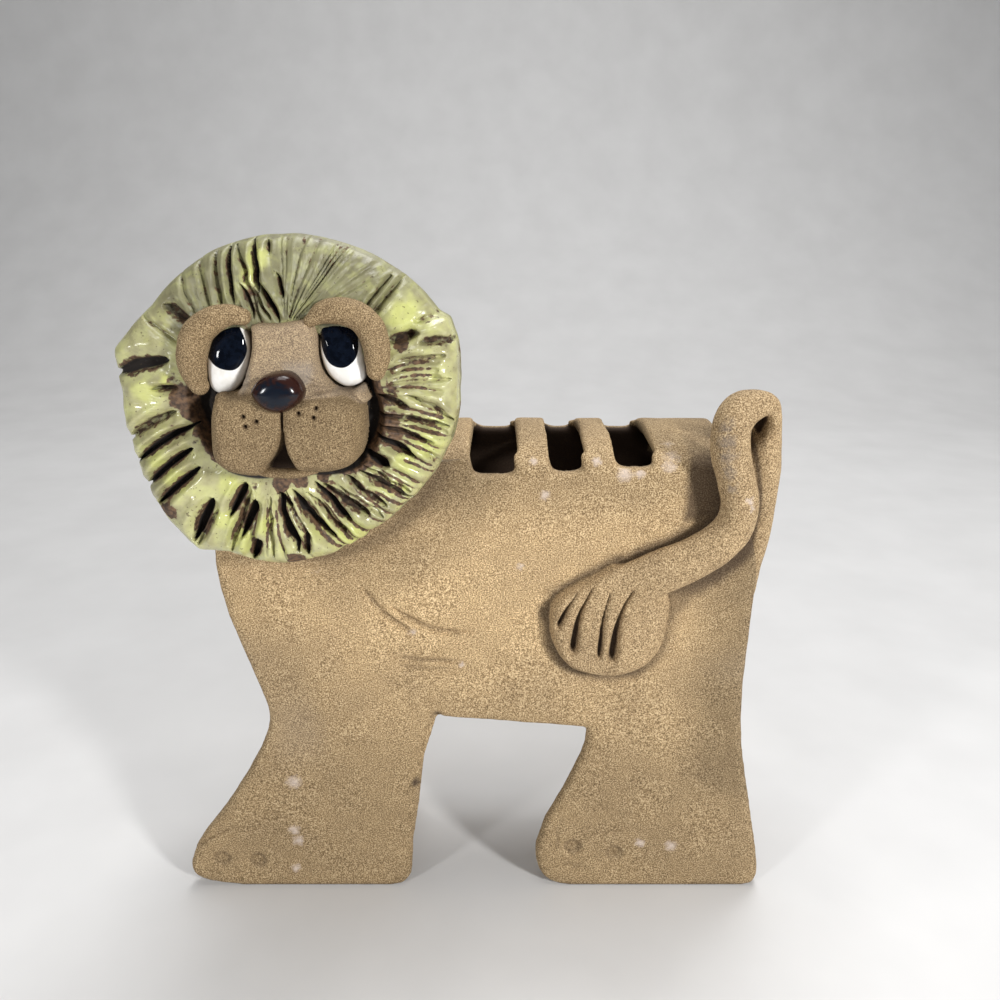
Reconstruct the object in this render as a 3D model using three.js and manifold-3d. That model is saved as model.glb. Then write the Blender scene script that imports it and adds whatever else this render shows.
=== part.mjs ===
import * as THREE from 'three';
import { mergeVertices } from 'three/addons/utils/BufferGeometryUtils.js';
import Module from 'manifold-3d';

// A stoneware lion made of slabs: a hollow holder with three slots over its back.
// Millimetres. X runs from the chest to the rump, Y from the face to the plain side, Z up.
// The front slab's outer face is at Y = 0 until the whole figure is centred at the end.

// Body
const BODY_LENGTH = 152.3; // toe of the front paw to the heel
const BODY_HEIGHT = 122.4; // sole to the crown of the back
const BODY_DEPTH = 42; // front slab's face to back slab's face
const SLAB = 4.5; // thickness of the front and back slabs, whose lower ends are the legs
const EDGE_WALL = 4.8; // thickness of the strip that closes the trunk between them
const EDGE_ROUND = 2; // rounding of the slabs' edges
const BACK_ARCH = 7; // fall of the back from its crown to the slabs

// Slots over the back, from the head to the tail, and the straps between them
const SLOT_1_WIDTH = 11.0;
const SLOT_2_WIDTH = 8.4;
const SLOT_3_WIDTH = 9.8;
const STRAP_1_WIDTH = 7.4;
const STRAP_2_WIDTH = 6.7;
const SLOT_DEPTH = 6.6; // crown of the back to the slot's front rim
const SLOT_TILT_DEG = 2; // the back rim stands a little higher
const SLOT_LEAN = 1.6; // how far each slot's tail side leans out at the top
const SLOT_ROUND = 3; // rounding of a slot's bottom corners

// Head
const MANE_DIAMETER = 71.2;
const MANE_THICKNESS = 9; // back of the disc to the top of its ring
const MANE_SEAT = 6.5; // back of the disc to the flat that the face sits on
const NECK_LENGTH = 6; // front slab to the back of the mane
const MUZZLE_LENGTH = 11.5; // seat to the front of the cheeks
const FOREHEAD_RISE = 6; // seat to the front of the nose bridge
const BROW_THICKNESS = 7.4;
const EYE_WIDTH = 9;
const EYE_HEIGHT = 15.4;
const EYE_BULGE = 3.8; // seat to the front of the eye
const NOSE_WIDTH = 10.6;
const NOSE_HEIGHT = 8.2;
const NOSE_THICKNESS = 5.6;
const LIP_THICKNESS = 3.4;

// Tail
const TAIL_THICKNESS = 8.6; // the coil, seen from the front
const TAIL_STAND_OFF = 8.2; // front slab to the front of the coil
const TUFT_RISE = 4.8; // front slab to the front of the tuft
const TUFT_ROUND = 1.8; // rounding of the tuft's edge
const TUFT_SLIT_DEPTH = 2.4;

// Marks in the clay
const GOUGE_DEPTH = 3.4; // the deepest tool marks of the mane
const TOE_DENT = 4.2; // width of a toe's dent
const LINE_WIDTH = 1.3; // the scratched lines of the shoulder
const CLEARANCE = 0.3; // joint between two pieces

const wasm = await Module();
wasm.setup();

// From a closed geometry to a solid that can be joined and cut
function solid(geometry) {
  const bare = geometry.index ? geometry.toNonIndexed() : geometry.clone();
  bare.deleteAttribute('normal');
  bare.deleteAttribute('uv');
  const merged = mergeVertices(bare, 1e-4);
  const points = merged.attributes.position.array;
  const corner = (i) => new THREE.Vector3().fromArray(points, 3 * i);
  const faces = [];
  let volume = 0;
  for (let i = 0; i < merged.index.count; i += 3) {
    const [a, b, c] = [0, 1, 2].map((k) => merged.index.getX(i + k));
    if (a === b || b === c || c === a) continue;
    faces.push(a, b, c);
    volume += corner(a).dot(corner(b).cross(corner(c)));
  }
  if (volume < 0) faces.reverse();
  return new wasm.Manifold(new wasm.Mesh({
    numProp: 3,
    vertProperties: new Float32Array(points),
    triVerts: new Uint32Array(faces),
  }));
}

const joined = (solids) => solids.reduce((whole, one) => whole.add(one));

// A shape drawn in X and Z, as a slab from y0 to y1 with its edges rounded and its outline grown
function slab(shape, y0, y1, round = 0, grow = 0) {
  const geometry = new THREE.ExtrudeGeometry(shape, {
    depth: y1 - y0 - 2 * round,
    bevelEnabled: true,
    bevelThickness: round,
    bevelSize: round,
    bevelOffset: grow - round,
    bevelSegments: round > 0 ? 2 : 1,
    curveSegments: 4,
  });
  geometry.rotateX(Math.PI / 2);
  geometry.translate(0, y1 - round, 0);
  return solid(geometry);
}

// A shape drawn in Y and Z, carried along X
function bar(shape, x0, x1) {
  const geometry = new THREE.ExtrudeGeometry(shape, {
    depth: x1 - x0,
    bevelEnabled: false,
    curveSegments: 6,
  });
  geometry.applyMatrix4(new THREE.Matrix4().set(0, 0, 1, x0, 1, 0, 0, 0, 0, 1, 0, 0, 0, 0, 0, 1));
  return solid(geometry);
}

// An egg-shaped lump, squarer as fullness passes 2, turned in the XZ plane
function lump(centre, radii, fullness = 2, turnDeg = 0, rows = 12) {
  const geometry = new THREE.SphereGeometry(1, 2 * rows, rows);
  const spot = geometry.attributes.position;
  const power = 2 / fullness;
  for (let i = 0; i < spot.count; i += 1) {
    const p = new THREE.Vector3().fromBufferAttribute(spot, i);
    const [x, y, z] = p.toArray().map((v) => (Math.abs(v) < 1e-9 ? 0 : v * Math.abs(v) ** (power - 1)));
    spot.setXYZ(i, x * radii[0], y * radii[1], z * radii[2]);
  }
  geometry.rotateY(THREE.MathUtils.degToRad(-turnDeg));
  geometry.translate(...centre.toArray());
  return solid(geometry);
}

// A coil of clay along a curve: half its width in the XZ plane and half its depth along Y vary with t
function coil(points, halfWidth, halfDepth, steps, sides, endRows = 3) {
  const curve = new THREE.CatmullRomCurve3(points, false, 'centripetal');
  const geometry = new THREE.CapsuleGeometry(1, steps, endRows, sides, steps);
  const spot = geometry.attributes.position;
  for (let i = 0; i < spot.count; i += 1) {
    const along = THREE.MathUtils.clamp(spot.getY(i), -steps / 2, steps / 2);
    const beyond = spot.getY(i) - along;
    const t = along / steps + 0.5;
    const tangent = curve.getTangentAt(t);
    const across = new THREE.Vector3(0, 1, 0).cross(tangent).normalize();
    const outward = tangent.clone().cross(across);
    const place = curve.getPointAt(t);
    place.addScaledVector(tangent, beyond * Math.min(halfWidth(t), halfDepth(t)));
    place.addScaledVector(across, spot.getX(i) * halfWidth(t));
    place.addScaledVector(outward, spot.getZ(i) * halfDepth(t));
    spot.setXYZ(i, place.x, place.y, place.z);
  }
  return solid(geometry);
}

// A tool mark: a pointed sliver from one point to another, widest where swell says
function sliver(from, to, width, depth, swell = 0.5) {
  const along = to.clone().sub(from);
  const length = along.length();
  const geometry = new THREE.OctahedronGeometry(1);
  const spot = geometry.attributes.position;
  for (let i = 0; i < spot.count; i += 1) {
    const waist = Math.abs(spot.getX(i)) < 0.5 ? swell - 0.5 : 0;
    spot.setXYZ(
      i,
      length * (0.5 * spot.getX(i) + waist),
      depth * spot.getY(i),
      0.5 * width * spot.getZ(i),
    );
  }
  const turn = new THREE.Matrix4().makeBasis(
    along.clone().normalize(),
    new THREE.Vector3(0, 1, 0),
    along.clone().normalize().cross(new THREE.Vector3(0, 1, 0)),
  );
  geometry.applyMatrix4(turn);
  geometry.translate(...from.clone().add(to).multiplyScalar(0.5).toArray());
  return solid(geometry);
}

// Distance from a point to the stretch between two others
function reach(p, a, b) {
  const run = b.clone().sub(a);
  const t = THREE.MathUtils.clamp(p.clone().sub(a).dot(run) / run.lengthSq(), 0, 1);
  return p.distanceTo(a.clone().addScaledVector(run, t));
}

// Drops the points that lie within tolerance of a straight run between their neighbours
function thinned(points, tolerance) {
  if (points.length < 3) return points;
  const ends = [points[0], points[points.length - 1]];
  let worst = 0;
  let split = 0;
  for (let i = 1; i < points.length - 1; i += 1) {
    const off = ends[0].distanceTo(ends[1]) > 0
      ? reach(points[i], ends[0], ends[1])
      : points[i].distanceTo(ends[0]);
    if (off > worst) [worst, split] = [off, i];
  }
  if (worst <= tolerance) return ends;
  const left = thinned(points.slice(0, split + 1), tolerance);
  return [...left.slice(0, -1), ...thinned(points.slice(split), tolerance)];
}

// The closed outline moved inwards by a distance, without the points that the corners leave too near
function inset(points, distance) {
  const count = points.length;
  const moved = points.map((p, i) => {
    const run = points[(i + 1) % count].clone().sub(points[(i + count - 1) % count]).normalize();
    return p.clone().add(new THREE.Vector2(-run.y, run.x).multiplyScalar(distance));
  });
  const clear = (p) => points.every((a, i) => reach(p, a, points[(i + 1) % count]) > 0.985 * distance);
  return moved.filter(clear);
}

// Body outline, counter-clockwise from the nape, as percentages of the body's length and height
const TOE_X = -BODY_LENGTH / 2;
const onBody = (x, z) => new THREE.Vector2(TOE_X + x * BODY_LENGTH / 100, z * BODY_HEIGHT / 100);
const NAPE = [14.4, 97.0];
const CHEST = [[11.0, 93.0], [9.7, 77.8], [10.7, 66.5], [13.8, 52.8], [16.1, 43.0]];
const RUMP = [
  [98.9, 11.9], [96.3, 27.2], [94.7, 40.8], [94.6, 55.5], [95.0, 73.6], [94.2, 83.7], [92.8, 90.2],
];
const CROUP = [87.5, 100];

// Each slab's legs: the shin and toe, the sole, and the calf of the front leg, then the hind leg's
const NEAR_LEGS = {
  shin: [[14.5, 35.1], [9.1, 23.3], [2.2, 11.6], [0.1, 5.3]],
  sole: [[-0.5, 1.3], [3.2, 0.3], 8.6, 34.6],
  calf: [[39.1, 5.5], [39.4, 11.6], [40.6, 20.5], [41.6, 31.3], [44.1, 41.7]],
  hindShin: [[69.1, 39.2], [68.4, 33.9], [65.6, 25.1], [62.2, 16.9], [60.7, 9.8]],
  hindSole: [[60.4, 3.2], [61.8, 0.4], 66.3, 97.0],
};
const FAR_LEGS = {
  shin: [[14.3, 33.0], [10.3, 21.5], [6.4, 11.0], [4.9, 5.0]],
  sole: [[4.4, 1.3], [7.2, 0.2], 11.2, 33.4],
  calf: [[37.7, 5.0], [38.3, 9.8], [39.8, 18.0], [41.0, 27.0], [43.3, 41.7]],
  hindShin: [[72.4, 39.2], [72.3, 27.0], [72.0, 17.5], [71.0, 10.0], [69.6, 5.4]],
  hindSole: [[68.9, 2.0], [70.2, 0.3], 73.4, 97.0],
};

// The soles are worn flat: their edges are less round than the rest
const SOLE = -45 * EDGE_ROUND / BODY_HEIGHT;

function bodyShape(legs) {
  const shape = new THREE.Shape();
  const curveTo = (...points) => shape.bezierCurveTo(...points.flatMap((p) => [...onBody(...p)]));
  const splineTo = (points) => shape.splineThru(points.map((p) => onBody(...p)));
  shape.moveTo(...onBody(...NAPE));
  splineTo([...CHEST, ...legs.shin]);
  curveTo(legs.sole[0], legs.sole[1], [legs.sole[2], SOLE]);
  shape.lineTo(...onBody(legs.sole[3], SOLE));
  curveTo([legs.calf[0][0] - 1, SOLE], [legs.calf[0][0] - 0.1, 1.2], legs.calf[0]);
  splineTo(legs.calf.slice(1));
  shape.lineTo(...onBody(...legs.hindShin[0]));
  splineTo(legs.hindShin.slice(1));
  curveTo(legs.hindSole[0], legs.hindSole[1], [legs.hindSole[2], SOLE]);
  shape.lineTo(...onBody(legs.hindSole[3], SOLE));
  curveTo([99.3, SOLE], [100.1, 1.0], [100, 4.2]);
  splineTo(RUMP);
  curveTo([92.1, 96.0], [91.2, 100], CROUP);
  shape.lineTo(...onBody(20, 100));
  curveTo([17.5, 100], [15.6, 99.5], NAPE);
  return shape;
}

// The straight stretches carry points too, so that the inset follows every corner
const finePoints = (legs) => bodyShape(legs).getSpacedPoints(500).slice(0, -1);
const outlineTolerance = 0.2;
const closedShape = (points) => new THREE.Shape(
  thinned([...points, points[0]], outlineTolerance).slice(0, -1),
);
const nearShape = closedShape(finePoints(NEAR_LEGS));
const farShape = closedShape(finePoints(FAR_LEGS));
const innerShape = closedShape(inset(finePoints(NEAR_LEGS), EDGE_WALL));

// The section across the back: upright slabs under half an ellipse
function arch(depthIn, crownIn, rise) {
  const shoulder = BODY_HEIGHT - crownIn - rise;
  const halfDepth = BODY_DEPTH / 2 - depthIn;
  const shape = new THREE.Shape();
  shape.moveTo(depthIn, 0);
  shape.lineTo(BODY_DEPTH - depthIn, 0);
  shape.absellipse(BODY_DEPTH / 2, shoulder, halfDepth, rise, 0, Math.PI);
  return bar(shape, TOE_X - EDGE_WALL, -TOE_X + EDGE_WALL);
}

// Everything higher than the belly, whose line runs on from the top of the leg arch
function aboveBelly(rise) {
  const [left, right] = [NEAR_LEGS.calf[4], NEAR_LEGS.hindShin[0]].map((p) => onBody(...p));
  const room = new THREE.BoxGeometry(2 * BODY_LENGTH, 2 * BODY_DEPTH, 2 * BODY_HEIGHT);
  room.translate(0, BODY_DEPTH / 2, BODY_HEIGHT + rise);
  room.rotateY(-Math.atan2(right.y - left.y, right.x - left.x));
  room.translate(left.x, 0, left.y);
  return solid(room);
}

// The trunk is a closed box between the slabs; below the belly only the slabs go on, as the legs
function bodyBlock(grow) {
  const near = slab(nearShape, -grow, SLAB + grow, EDGE_ROUND, grow);
  const far = slab(farShape, BODY_DEPTH - SLAB - grow, BODY_DEPTH + grow, EDGE_ROUND, grow);
  const trunk = slab(nearShape, EDGE_ROUND, BODY_DEPTH - EDGE_ROUND, 0, grow)
    .intersect(aboveBelly(-grow));
  return trunk.add(near).add(far).intersect(arch(-grow, -grow, BACK_ARCH));
}

const chamber = slab(innerShape, SLAB, BODY_DEPTH - SLAB)
  .intersect(aboveBelly(EDGE_WALL))
  .intersect(arch(SLAB, EDGE_WALL, BACK_ARCH / 4));

// Three slots, rounded at the bottom, their tail side leaning out
const SLOT_ROW_AT = 64.1;
const slotWidths = [SLOT_1_WIDTH, SLOT_2_WIDTH, SLOT_3_WIDTH];
const strapWidths = [STRAP_1_WIDTH, STRAP_2_WIDTH, 0];
const rowWidth = [...slotWidths, ...strapWidths].reduce((sum, width) => sum + width);

function slotShape(left, width, rim, round) {
  const right = left + width;
  const turn = Math.min(round, 0.45 * width, 0.45 * SLOT_DEPTH);
  const top = BODY_HEIGHT + SLOT_DEPTH;
  const shape = new THREE.Shape();
  shape.moveTo(left, top);
  shape.lineTo(left, rim + turn);
  shape.quadraticCurveTo(left, rim, left + turn, rim);
  shape.lineTo(right - turn, rim);
  shape.quadraticCurveTo(right, rim, right + 0.1 * SLOT_LEAN, rim + turn);
  shape.lineTo(right + 2 * SLOT_LEAN, top);
  return shape;
}

// Over the slabs the slots have tilted rims; between them they open right down into the trunk
function slots() {
  const rim = BODY_HEIGHT - SLOT_DEPTH;
  const rims = [];
  const mouths = [];
  let left = onBody(SLOT_ROW_AT, 0).x - rowWidth / 2;
  slotWidths.forEach((width, i) => {
    rims.push(slab(slotShape(left, width, rim, SLOT_ROUND), -BODY_DEPTH, 2 * BODY_DEPTH));
    mouths.push(slab(slotShape(left, width, rim - SLAB, LINE_WIDTH), SLAB, BODY_DEPTH - SLAB));
    left += width + strapWidths[i];
  });
  const tilted = joined(rims)
    .translate([0, 0, -rim])
    .rotate([SLOT_TILT_DEG, 0, 0])
    .translate([0, 0, rim]);
  return tilted.add(joined(mouths));
}

// Head: everything on it is placed from the middle of the mane, in shares of its radius
const R = MANE_DIAMETER / 2;
const headMiddle = onBody(25.25, 108.66);
const maneBack = -(NECK_LENGTH + CLEARANCE);
const seat = maneBack - MANE_SEAT;
const onHead = (x, z, out = 0) => new THREE.Vector3(
  headMiddle.x + x * R,
  seat - out,
  headMiddle.y + z * R,
);

// The neck: a collar that flares into the front slab, and a lump behind the mane over the back
function neck() {
  const flare = new THREE.QuadraticBezierCurve(
    new THREE.Vector2(0.95 * R, -NECK_LENGTH),
    new THREE.Vector2(1.02 * R, -0.2 * NECK_LENGTH),
    new THREE.Vector2(1.16 * R, CLEARANCE),
  ).getPoints(4);
  const profile = [new THREE.Vector2(0, -NECK_LENGTH), ...flare, new THREE.Vector2(0, CLEARANCE)];
  const collar = new THREE.LatheGeometry(profile, 36);
  collar.translate(headMiddle.x, 0, headMiddle.y - 0.06 * R);
  const front = slab(nearShape, -NECK_LENGTH, SLAB).intersect(arch(-NECK_LENGTH, 0, BACK_ARCH));
  const nape = lump(
    new THREE.Vector3(headMiddle.x, 0, BODY_HEIGHT - 0.25 * R),
    [0.68 * R, 0.3 * BODY_DEPTH, 0.52 * R],
    2.2,
    0,
    8,
  );
  const behind = new THREE.BoxGeometry(4 * R, BODY_DEPTH, 4 * R);
  behind.translate(headMiddle.x, BODY_DEPTH / 2 - NECK_LENGTH, headMiddle.y);
  return solid(collar).intersect(front).add(nape.intersect(solid(behind)));
}

// Dents of the toes and the scratched lines of the shoulder, on the front slab
const TOES = [[5.65, 6.3], [11.8, 5.8], [66.7, 9.6], [74.3, 8.1]];
const SHOULDER_LINES = [
  [[32.4, 71.2], [34.1, 66.6], [36.1, 64.2], [38.5, 62.3], [41.6, 61.0], [44.8, 60.1], [50.0, 60.1]],
  [[36.3, 55.9], [38.3, 54.9], [41.5, 54.5], [49.0, 53.1]],
];

function bodyMarks() {
  const dents = TOES.map((p) => {
    const { x, y } = onBody(...p);
    const radii = [TOE_DENT / 2, TOE_DENT / 3, TOE_DENT / 2];
    return lump(new THREE.Vector3(x, -0.1 * TOE_DENT, y), radii, 2, 0, 5);
  });
  const lines = SHOULDER_LINES.map((line) => {
    const points = line.map((p) => onBody(...p)).map(({ x, y }) => new THREE.Vector3(x, 0, y));
    const fade = (t) => LINE_WIDTH * (0.25 + 0.25 * Math.sin(Math.PI * t));
    return coil(points, fade, fade, 9, 4, 1);
  });
  return joined([...dents, ...lines]);
}

function body() {
  const outside = bodyBlock(0).add(neck());
  return outside.subtract(chamber).subtract(slots()).subtract(bodyMarks());
}

// The mane's outline: a circle with lobes and hollows, each an angle, a half-width and a height
const LOBES = [
  [43, 17, 0.05], [28, 3.2, 0.06], [18, 5, 0.045], [-60, 26, -0.095],
  [-127, 5, 0.09], [-112, 10, 0.02], [159, 8, 0.055], [177, 18, 0.02], [-140, 7, 0.05],
];

function manePull(angleDeg) {
  return LOBES.reduce((sum, [at, half, height]) => {
    const off = THREE.MathUtils.euclideanModulo(angleDeg - at + 180, 360) - 180;
    return sum + height * Math.exp(-((off / half) ** 2));
  }, 0);
}

// Tool marks of the mane: angle, lean, where the mark starts and ends, its width and its depth
const GOUGES = [
  [180, 11, 0.64, 1.04, 2.6, 0.8], [188, 11, 0.56, 1.04, 2.8, 1.0], [201, 7, 0.62, 1.06, 2.6, 0.9],
  [212, 3, 0.66, 1.06, 2.6, 0.9], [228, 4, 0.70, 1.06, 3.0, 1.0], [238, 1, 0.50, 0.78, 2.2, 0.9],
  [248, -1, 0.56, 0.88, 2.6, 1.0], [254, -1, 0.80, 1.02, 2.2, 0.9], [262, 7, 0.50, 0.62, 1.6, 0.6],
  [155, 13, 0.72, 1.08, 4.0, 0.9], [167, 4, 0.62, 0.84, 1.8, 0.6], [135, 4, 0.74, 0.92, 2.6, 0.7],
  [115, -7, 0.66, 1.02, 2.6, 0.9], [95, 4, 0.52, 1.02, 2.8, 0.9], [86, -4, 0.60, 0.98, 1.8, 0.6],
  [76, -13, 0.64, 1.0, 2.2, 0.6], [67, -9, 0.70, 0.96, 1.8, 0.5], [50, -1, 0.74, 1.06, 2.4, 0.6],
  [35, -4, 0.70, 0.94, 2.4, 0.7], [33, -2, 0.92, 1.12, 2.0, 0.6], [27, -5, 0.88, 1.12, 2.0, 0.7],
  [20, -4, 0.66, 0.98, 2.2, 0.6], [10, -8, 0.54, 0.74, 2.0, 0.7], [7, -10, 0.70, 1.04, 2.2, 0.6],
  [-2, -4, 0.55, 1.0, 2.4, 0.8], [-9, -4, 0.55, 0.92, 2.2, 0.7], [-16, -5, 0.54, 0.84, 2.2, 0.7],
  [-18, -3, 0.82, 1.02, 1.8, 0.5], [-28, -1, 0.53, 0.68, 2.2, 0.9], [-40, 2, 0.55, 0.96, 2.6, 0.8],
  [-50, 3, 0.51, 0.86, 2.2, 0.7], [-64, 10, 0.50, 0.82, 2.4, 0.8], [-71, 7, 0.46, 0.80, 2.2, 0.7],
  [-89, 15, 0.49, 0.88, 2.6, 0.8], [-99, 10, 0.51, 0.92, 2.4, 0.9], [-85, -1, 0.76, 0.94, 1.8, 0.6],
];

function mane(pressedIn) {
  const T = MANE_THICKNESS;
  const profile = [
    [0, 0], [0.94, 0], [1, 0.32 * T], [0.97, 0.68 * T], [0.87, 0.91 * T],
    [0.73, T], [0.6, 0.93 * T], [0.54, MANE_SEAT], [0, MANE_SEAT],
  ].map(([share, out]) => new THREE.Vector2(share * R, maneBack - out));
  const disc = new THREE.LatheGeometry(profile, 52);
  const spot = disc.attributes.position;
  for (let i = 0; i < spot.count; i += 1) {
    const [x, z] = [spot.getX(i), spot.getZ(i)];
    const outer = THREE.MathUtils.smoothstep(Math.hypot(x, z), 0.5 * R, 0.92 * R);
    const scale = 1 + outer * manePull(THREE.MathUtils.radToDeg(Math.atan2(z, x)));
    spot.setXYZ(i, x * scale, spot.getY(i), z * scale);
  }
  disc.translate(headMiddle.x, 0, headMiddle.y);
  const cuts = GOUGES.map(([angle, lean, start, end, width, depth]) => {
    const place = (at, r) => {
      const turn = THREE.MathUtils.degToRad(at);
      const { x, z } = onHead(r * Math.cos(turn), r * Math.sin(turn));
      return new THREE.Vector3(x, maneBack - T, z);
    };
    return sliver(place(angle, start), place(angle + lean, end), width, depth * GOUGE_DEPTH, 0.45);
  });
  return solid(disc).subtract(joined(cuts)).subtract(pressedIn);
}

// Only what stands in front of the seat, so that the face keeps its joint to the mane
function seated(shape, gap) {
  const room = new THREE.BoxGeometry(4 * R, 2 * R, 4 * R);
  room.translate(headMiddle.x, seat - gap - R, headMiddle.y);
  return shape.intersect(solid(room));
}

// Brows that hang round the outer sides of the eyes like ears
const BROW_PATHS = {
  left_brow: [
    [-0.19, 0.575], [-0.3, 0.575], [-0.44, 0.51], [-0.515, 0.38], [-0.52, 0.26], [-0.48, 0.14],
  ],
  right_brow: [
    [0.2, 0.57], [0.3, 0.59], [0.43, 0.565], [0.525, 0.47], [0.55, 0.35], [0.525, 0.2],
  ],
};

function brow(name, grow) {
  const points = BROW_PATHS[name].map(([x, z]) => onHead(x, z, 0.5 * BROW_THICKNESS));
  const swell = (t) => 0.72 + 0.3 * Math.sin(Math.PI * Math.min(1, t + 0.15));
  const half = (t) => grow + 0.5 * BROW_THICKNESS * swell(t);
  return coil(points, half, (t) => 0.95 * half(t), 8, 10);
}

const EYE_SPOTS = { left_eye: [-0.29, 0.285, 12], right_eye: [0.355, 0.31, -10] };

function eye(name, grow) {
  const [x, z, turn] = EYE_SPOTS[name];
  const radii = [EYE_WIDTH / 2 + grow, EYE_BULGE + grow, EYE_HEIGHT / 2 + grow];
  return lump(onHead(x, z), radii, 2.2, turn, 8);
}

const nosePlace = onHead(0.0, 0.135, MUZZLE_LENGTH - 0.1 * NOSE_THICKNESS);
const nose = (grow) => lump(
  nosePlace,
  [NOSE_WIDTH / 2 + grow, NOSE_THICKNESS / 2 + grow, NOSE_HEIGHT / 2 + grow],
  2.2,
  0,
  8,
);

// The lower lip, a small roll of clay under the cheeks
function lip(grow) {
  const half = 0.5 * LIP_THICKNESS + grow;
  const points = [[-0.17, -0.305], [-0.02, -0.325], [0.13, -0.305]]
    .map(([x, z]) => onHead(x, z, 0.42 * MUZZLE_LENGTH));
  return coil(points, () => half, () => 1.7 * half, 4, 8);
}

// Two cheeks, the bridge of the nose and the forehead, under the eyes, brows and nose
function faceLumps(grow) {
  const round = (x, z, [w, d, h], out, fullness, rows) => lump(
    onHead(x, z, out),
    [w * R + grow, d + grow, h * R + grow],
    fullness,
    0,
    rows,
  );
  return [
    round(-0.215, -0.105, [0.225, 0.62 * MUZZLE_LENGTH, 0.255], 0.38 * MUZZLE_LENGTH, 2.6, 7),
    round(0.24, -0.09, [0.235, 0.62 * MUZZLE_LENGTH, 0.26], 0.38 * MUZZLE_LENGTH, 2.6, 7),
    round(0.01, 0.07, [0.45, 0.8 * FOREHEAD_RISE, 0.13], 0, 2.6, 6),
    round(0.005, 0.29, [0.19, FOREHEAD_RISE, 0.26], 0, 2.8, 7),
    round(0.0, 0.1, [0.19, 0.9 * MUZZLE_LENGTH, 0.18], 0, 2.2, 6),
  ];
}

const WHISKER_PITS = [
  [-0.215, 0.0], [-0.15, -0.035], [-0.215, -0.06], [0.1, 0.02], [0.2, 0.05], [0.18, -0.01],
];

function faceCuts() {
  const front = MUZZLE_LENGTH;
  const back = 0.8 * MUZZLE_LENGTH;
  const slit = sliver(onHead(-0.015, 0.12, front), onHead(-0.02, -0.3, front), 1.6, 4.4, 0.6);
  const mouth = sliver(onHead(-0.02, -0.1, back), onHead(-0.02, -0.48, back), 5.4, 6, 0.55);
  const pits = WHISKER_PITS.map(([x, z]) => lump(onHead(x, z, front), [0.7, 1.6, 0.7], 2, 0, 4));
  return joined([slit, mouth, ...pits]);
}

function face() {
  const lumps = joined(faceLumps(0)).subtract(faceCuts());
  return seated(lumps, CLEARANCE).subtract(headParts(CLEARANCE));
}

const headParts = (grow) => joined([
  ...Object.keys(BROW_PATHS).map((name) => brow(name, grow)),
  ...Object.keys(EYE_SPOTS).map((name) => eye(name, grow)),
  nose(grow),
  lip(grow),
]);

// Tail: up from the rump, over in a loop, down the front slab and across to the tuft. The third
// value is how far in front of the slab's face the middle of the coil runs, in shares of the stand-off
const TAIL_PATH = [
  [94.0, 70.1, -0.61], [94.3, 80.7, -0.61], [94.5, 92.8, -0.61], [94.2, 102.3, -0.55],
  [92.2, 107.1, -0.3], [89.4, 106.1, 0.12], [88.4, 101.3, 0.41], [89.2, 95.8, 0.49],
  [90.2, 90.2, 0.49], [89.6, 84.7, 0.48], [86.6, 79.8, 0.44], [82.0, 75.9, 0.37],
  [77.5, 72.4, 0.29], [73.0, 67.0, 0.22],
];
const TUFT = [
  [66.4, 71.5], [62.8, 69.4], [62.1, 66.4], [62.4, 61.7], [63.3, 57.6], [66.0, 54.2], [69.8, 52.5],
  [74.0, 52.2], [77.9, 53.3], [79.9, 57.0], [81.4, 62.5], [81.9, 67.0], [80.2, 73.1], [73.0, 75.1],
];
const TUFT_SLITS = [
  [66.8, 69.6, 63.9, 62.2, 1.5], [69.7, 70.9, 66.3, 56.4, 1.9],
  [72.2, 70.6, 70.5, 55.2, 1.7], [75.9, 70.9, 72.7, 54.2, 2.0],
];

function tail() {
  const half = TAIL_THICKNESS / 2;
  const points = TAIL_PATH.map(([x, z, out]) => {
    const spot = onBody(x, z);
    return new THREE.Vector3(spot.x, -out * TAIL_STAND_OFF, spot.y);
  });
  const swell = (t) => THREE.MathUtils.smoothstep(t, 0.62, 0.9);
  const root = (t) => 0.55 + 0.45 * THREE.MathUtils.smoothstep(t, 0, 0.22);
  const width = (t) => half * root(t) * (1 + 0.28 * swell(t));
  const depth = (t) => TAIL_STAND_OFF * (0.5 - 0.14 * swell(t));
  const coiled = coil(points, width, depth, 24, 9);
  const outline = new THREE.SplineCurve([...TUFT, TUFT[0]].map((p) => onBody(...p)));
  const tuft = slab(new THREE.Shape(outline.getPoints(26).slice(0, -1)), -TUFT_RISE, SLAB, TUFT_ROUND);
  const slits = TUFT_SLITS.map(([x1, z1, x2, z2, width1]) => {
    const [top, bottom] = [onBody(x1, z1), onBody(x2, z2)];
    return sliver(
      new THREE.Vector3(top.x, -TUFT_RISE, top.y),
      new THREE.Vector3(bottom.x, -TUFT_RISE, bottom.y),
      width1,
      TUFT_SLIT_DEPTH,
      0.72,
    );
  });
  return coiled.add(tuft).subtract(bodyBlock(CLEARANCE)).subtract(joined(slits));
}

// Materials
const clay = (color) => new THREE.MeshStandardMaterial({ color, roughness: 0.85, metalness: 0 });
const glaze = (color) => new THREE.MeshStandardMaterial({ color, roughness: 0.12, metalness: 0 });

const figure = new THREE.Group();

function place(name, shape, material) {
  const { vertProperties, triVerts } = shape.getMesh();
  const geometry = new THREE.BufferGeometry();
  geometry.setAttribute('position', new THREE.BufferAttribute(new Float32Array(vertProperties), 3));
  geometry.setIndex(new THREE.BufferAttribute(new Uint32Array(triVerts), 1));
  geometry.computeVertexNormals();
  const mesh = new THREE.Mesh(geometry, material);
  mesh.name = name;
  figure.add(mesh);
}

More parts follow.
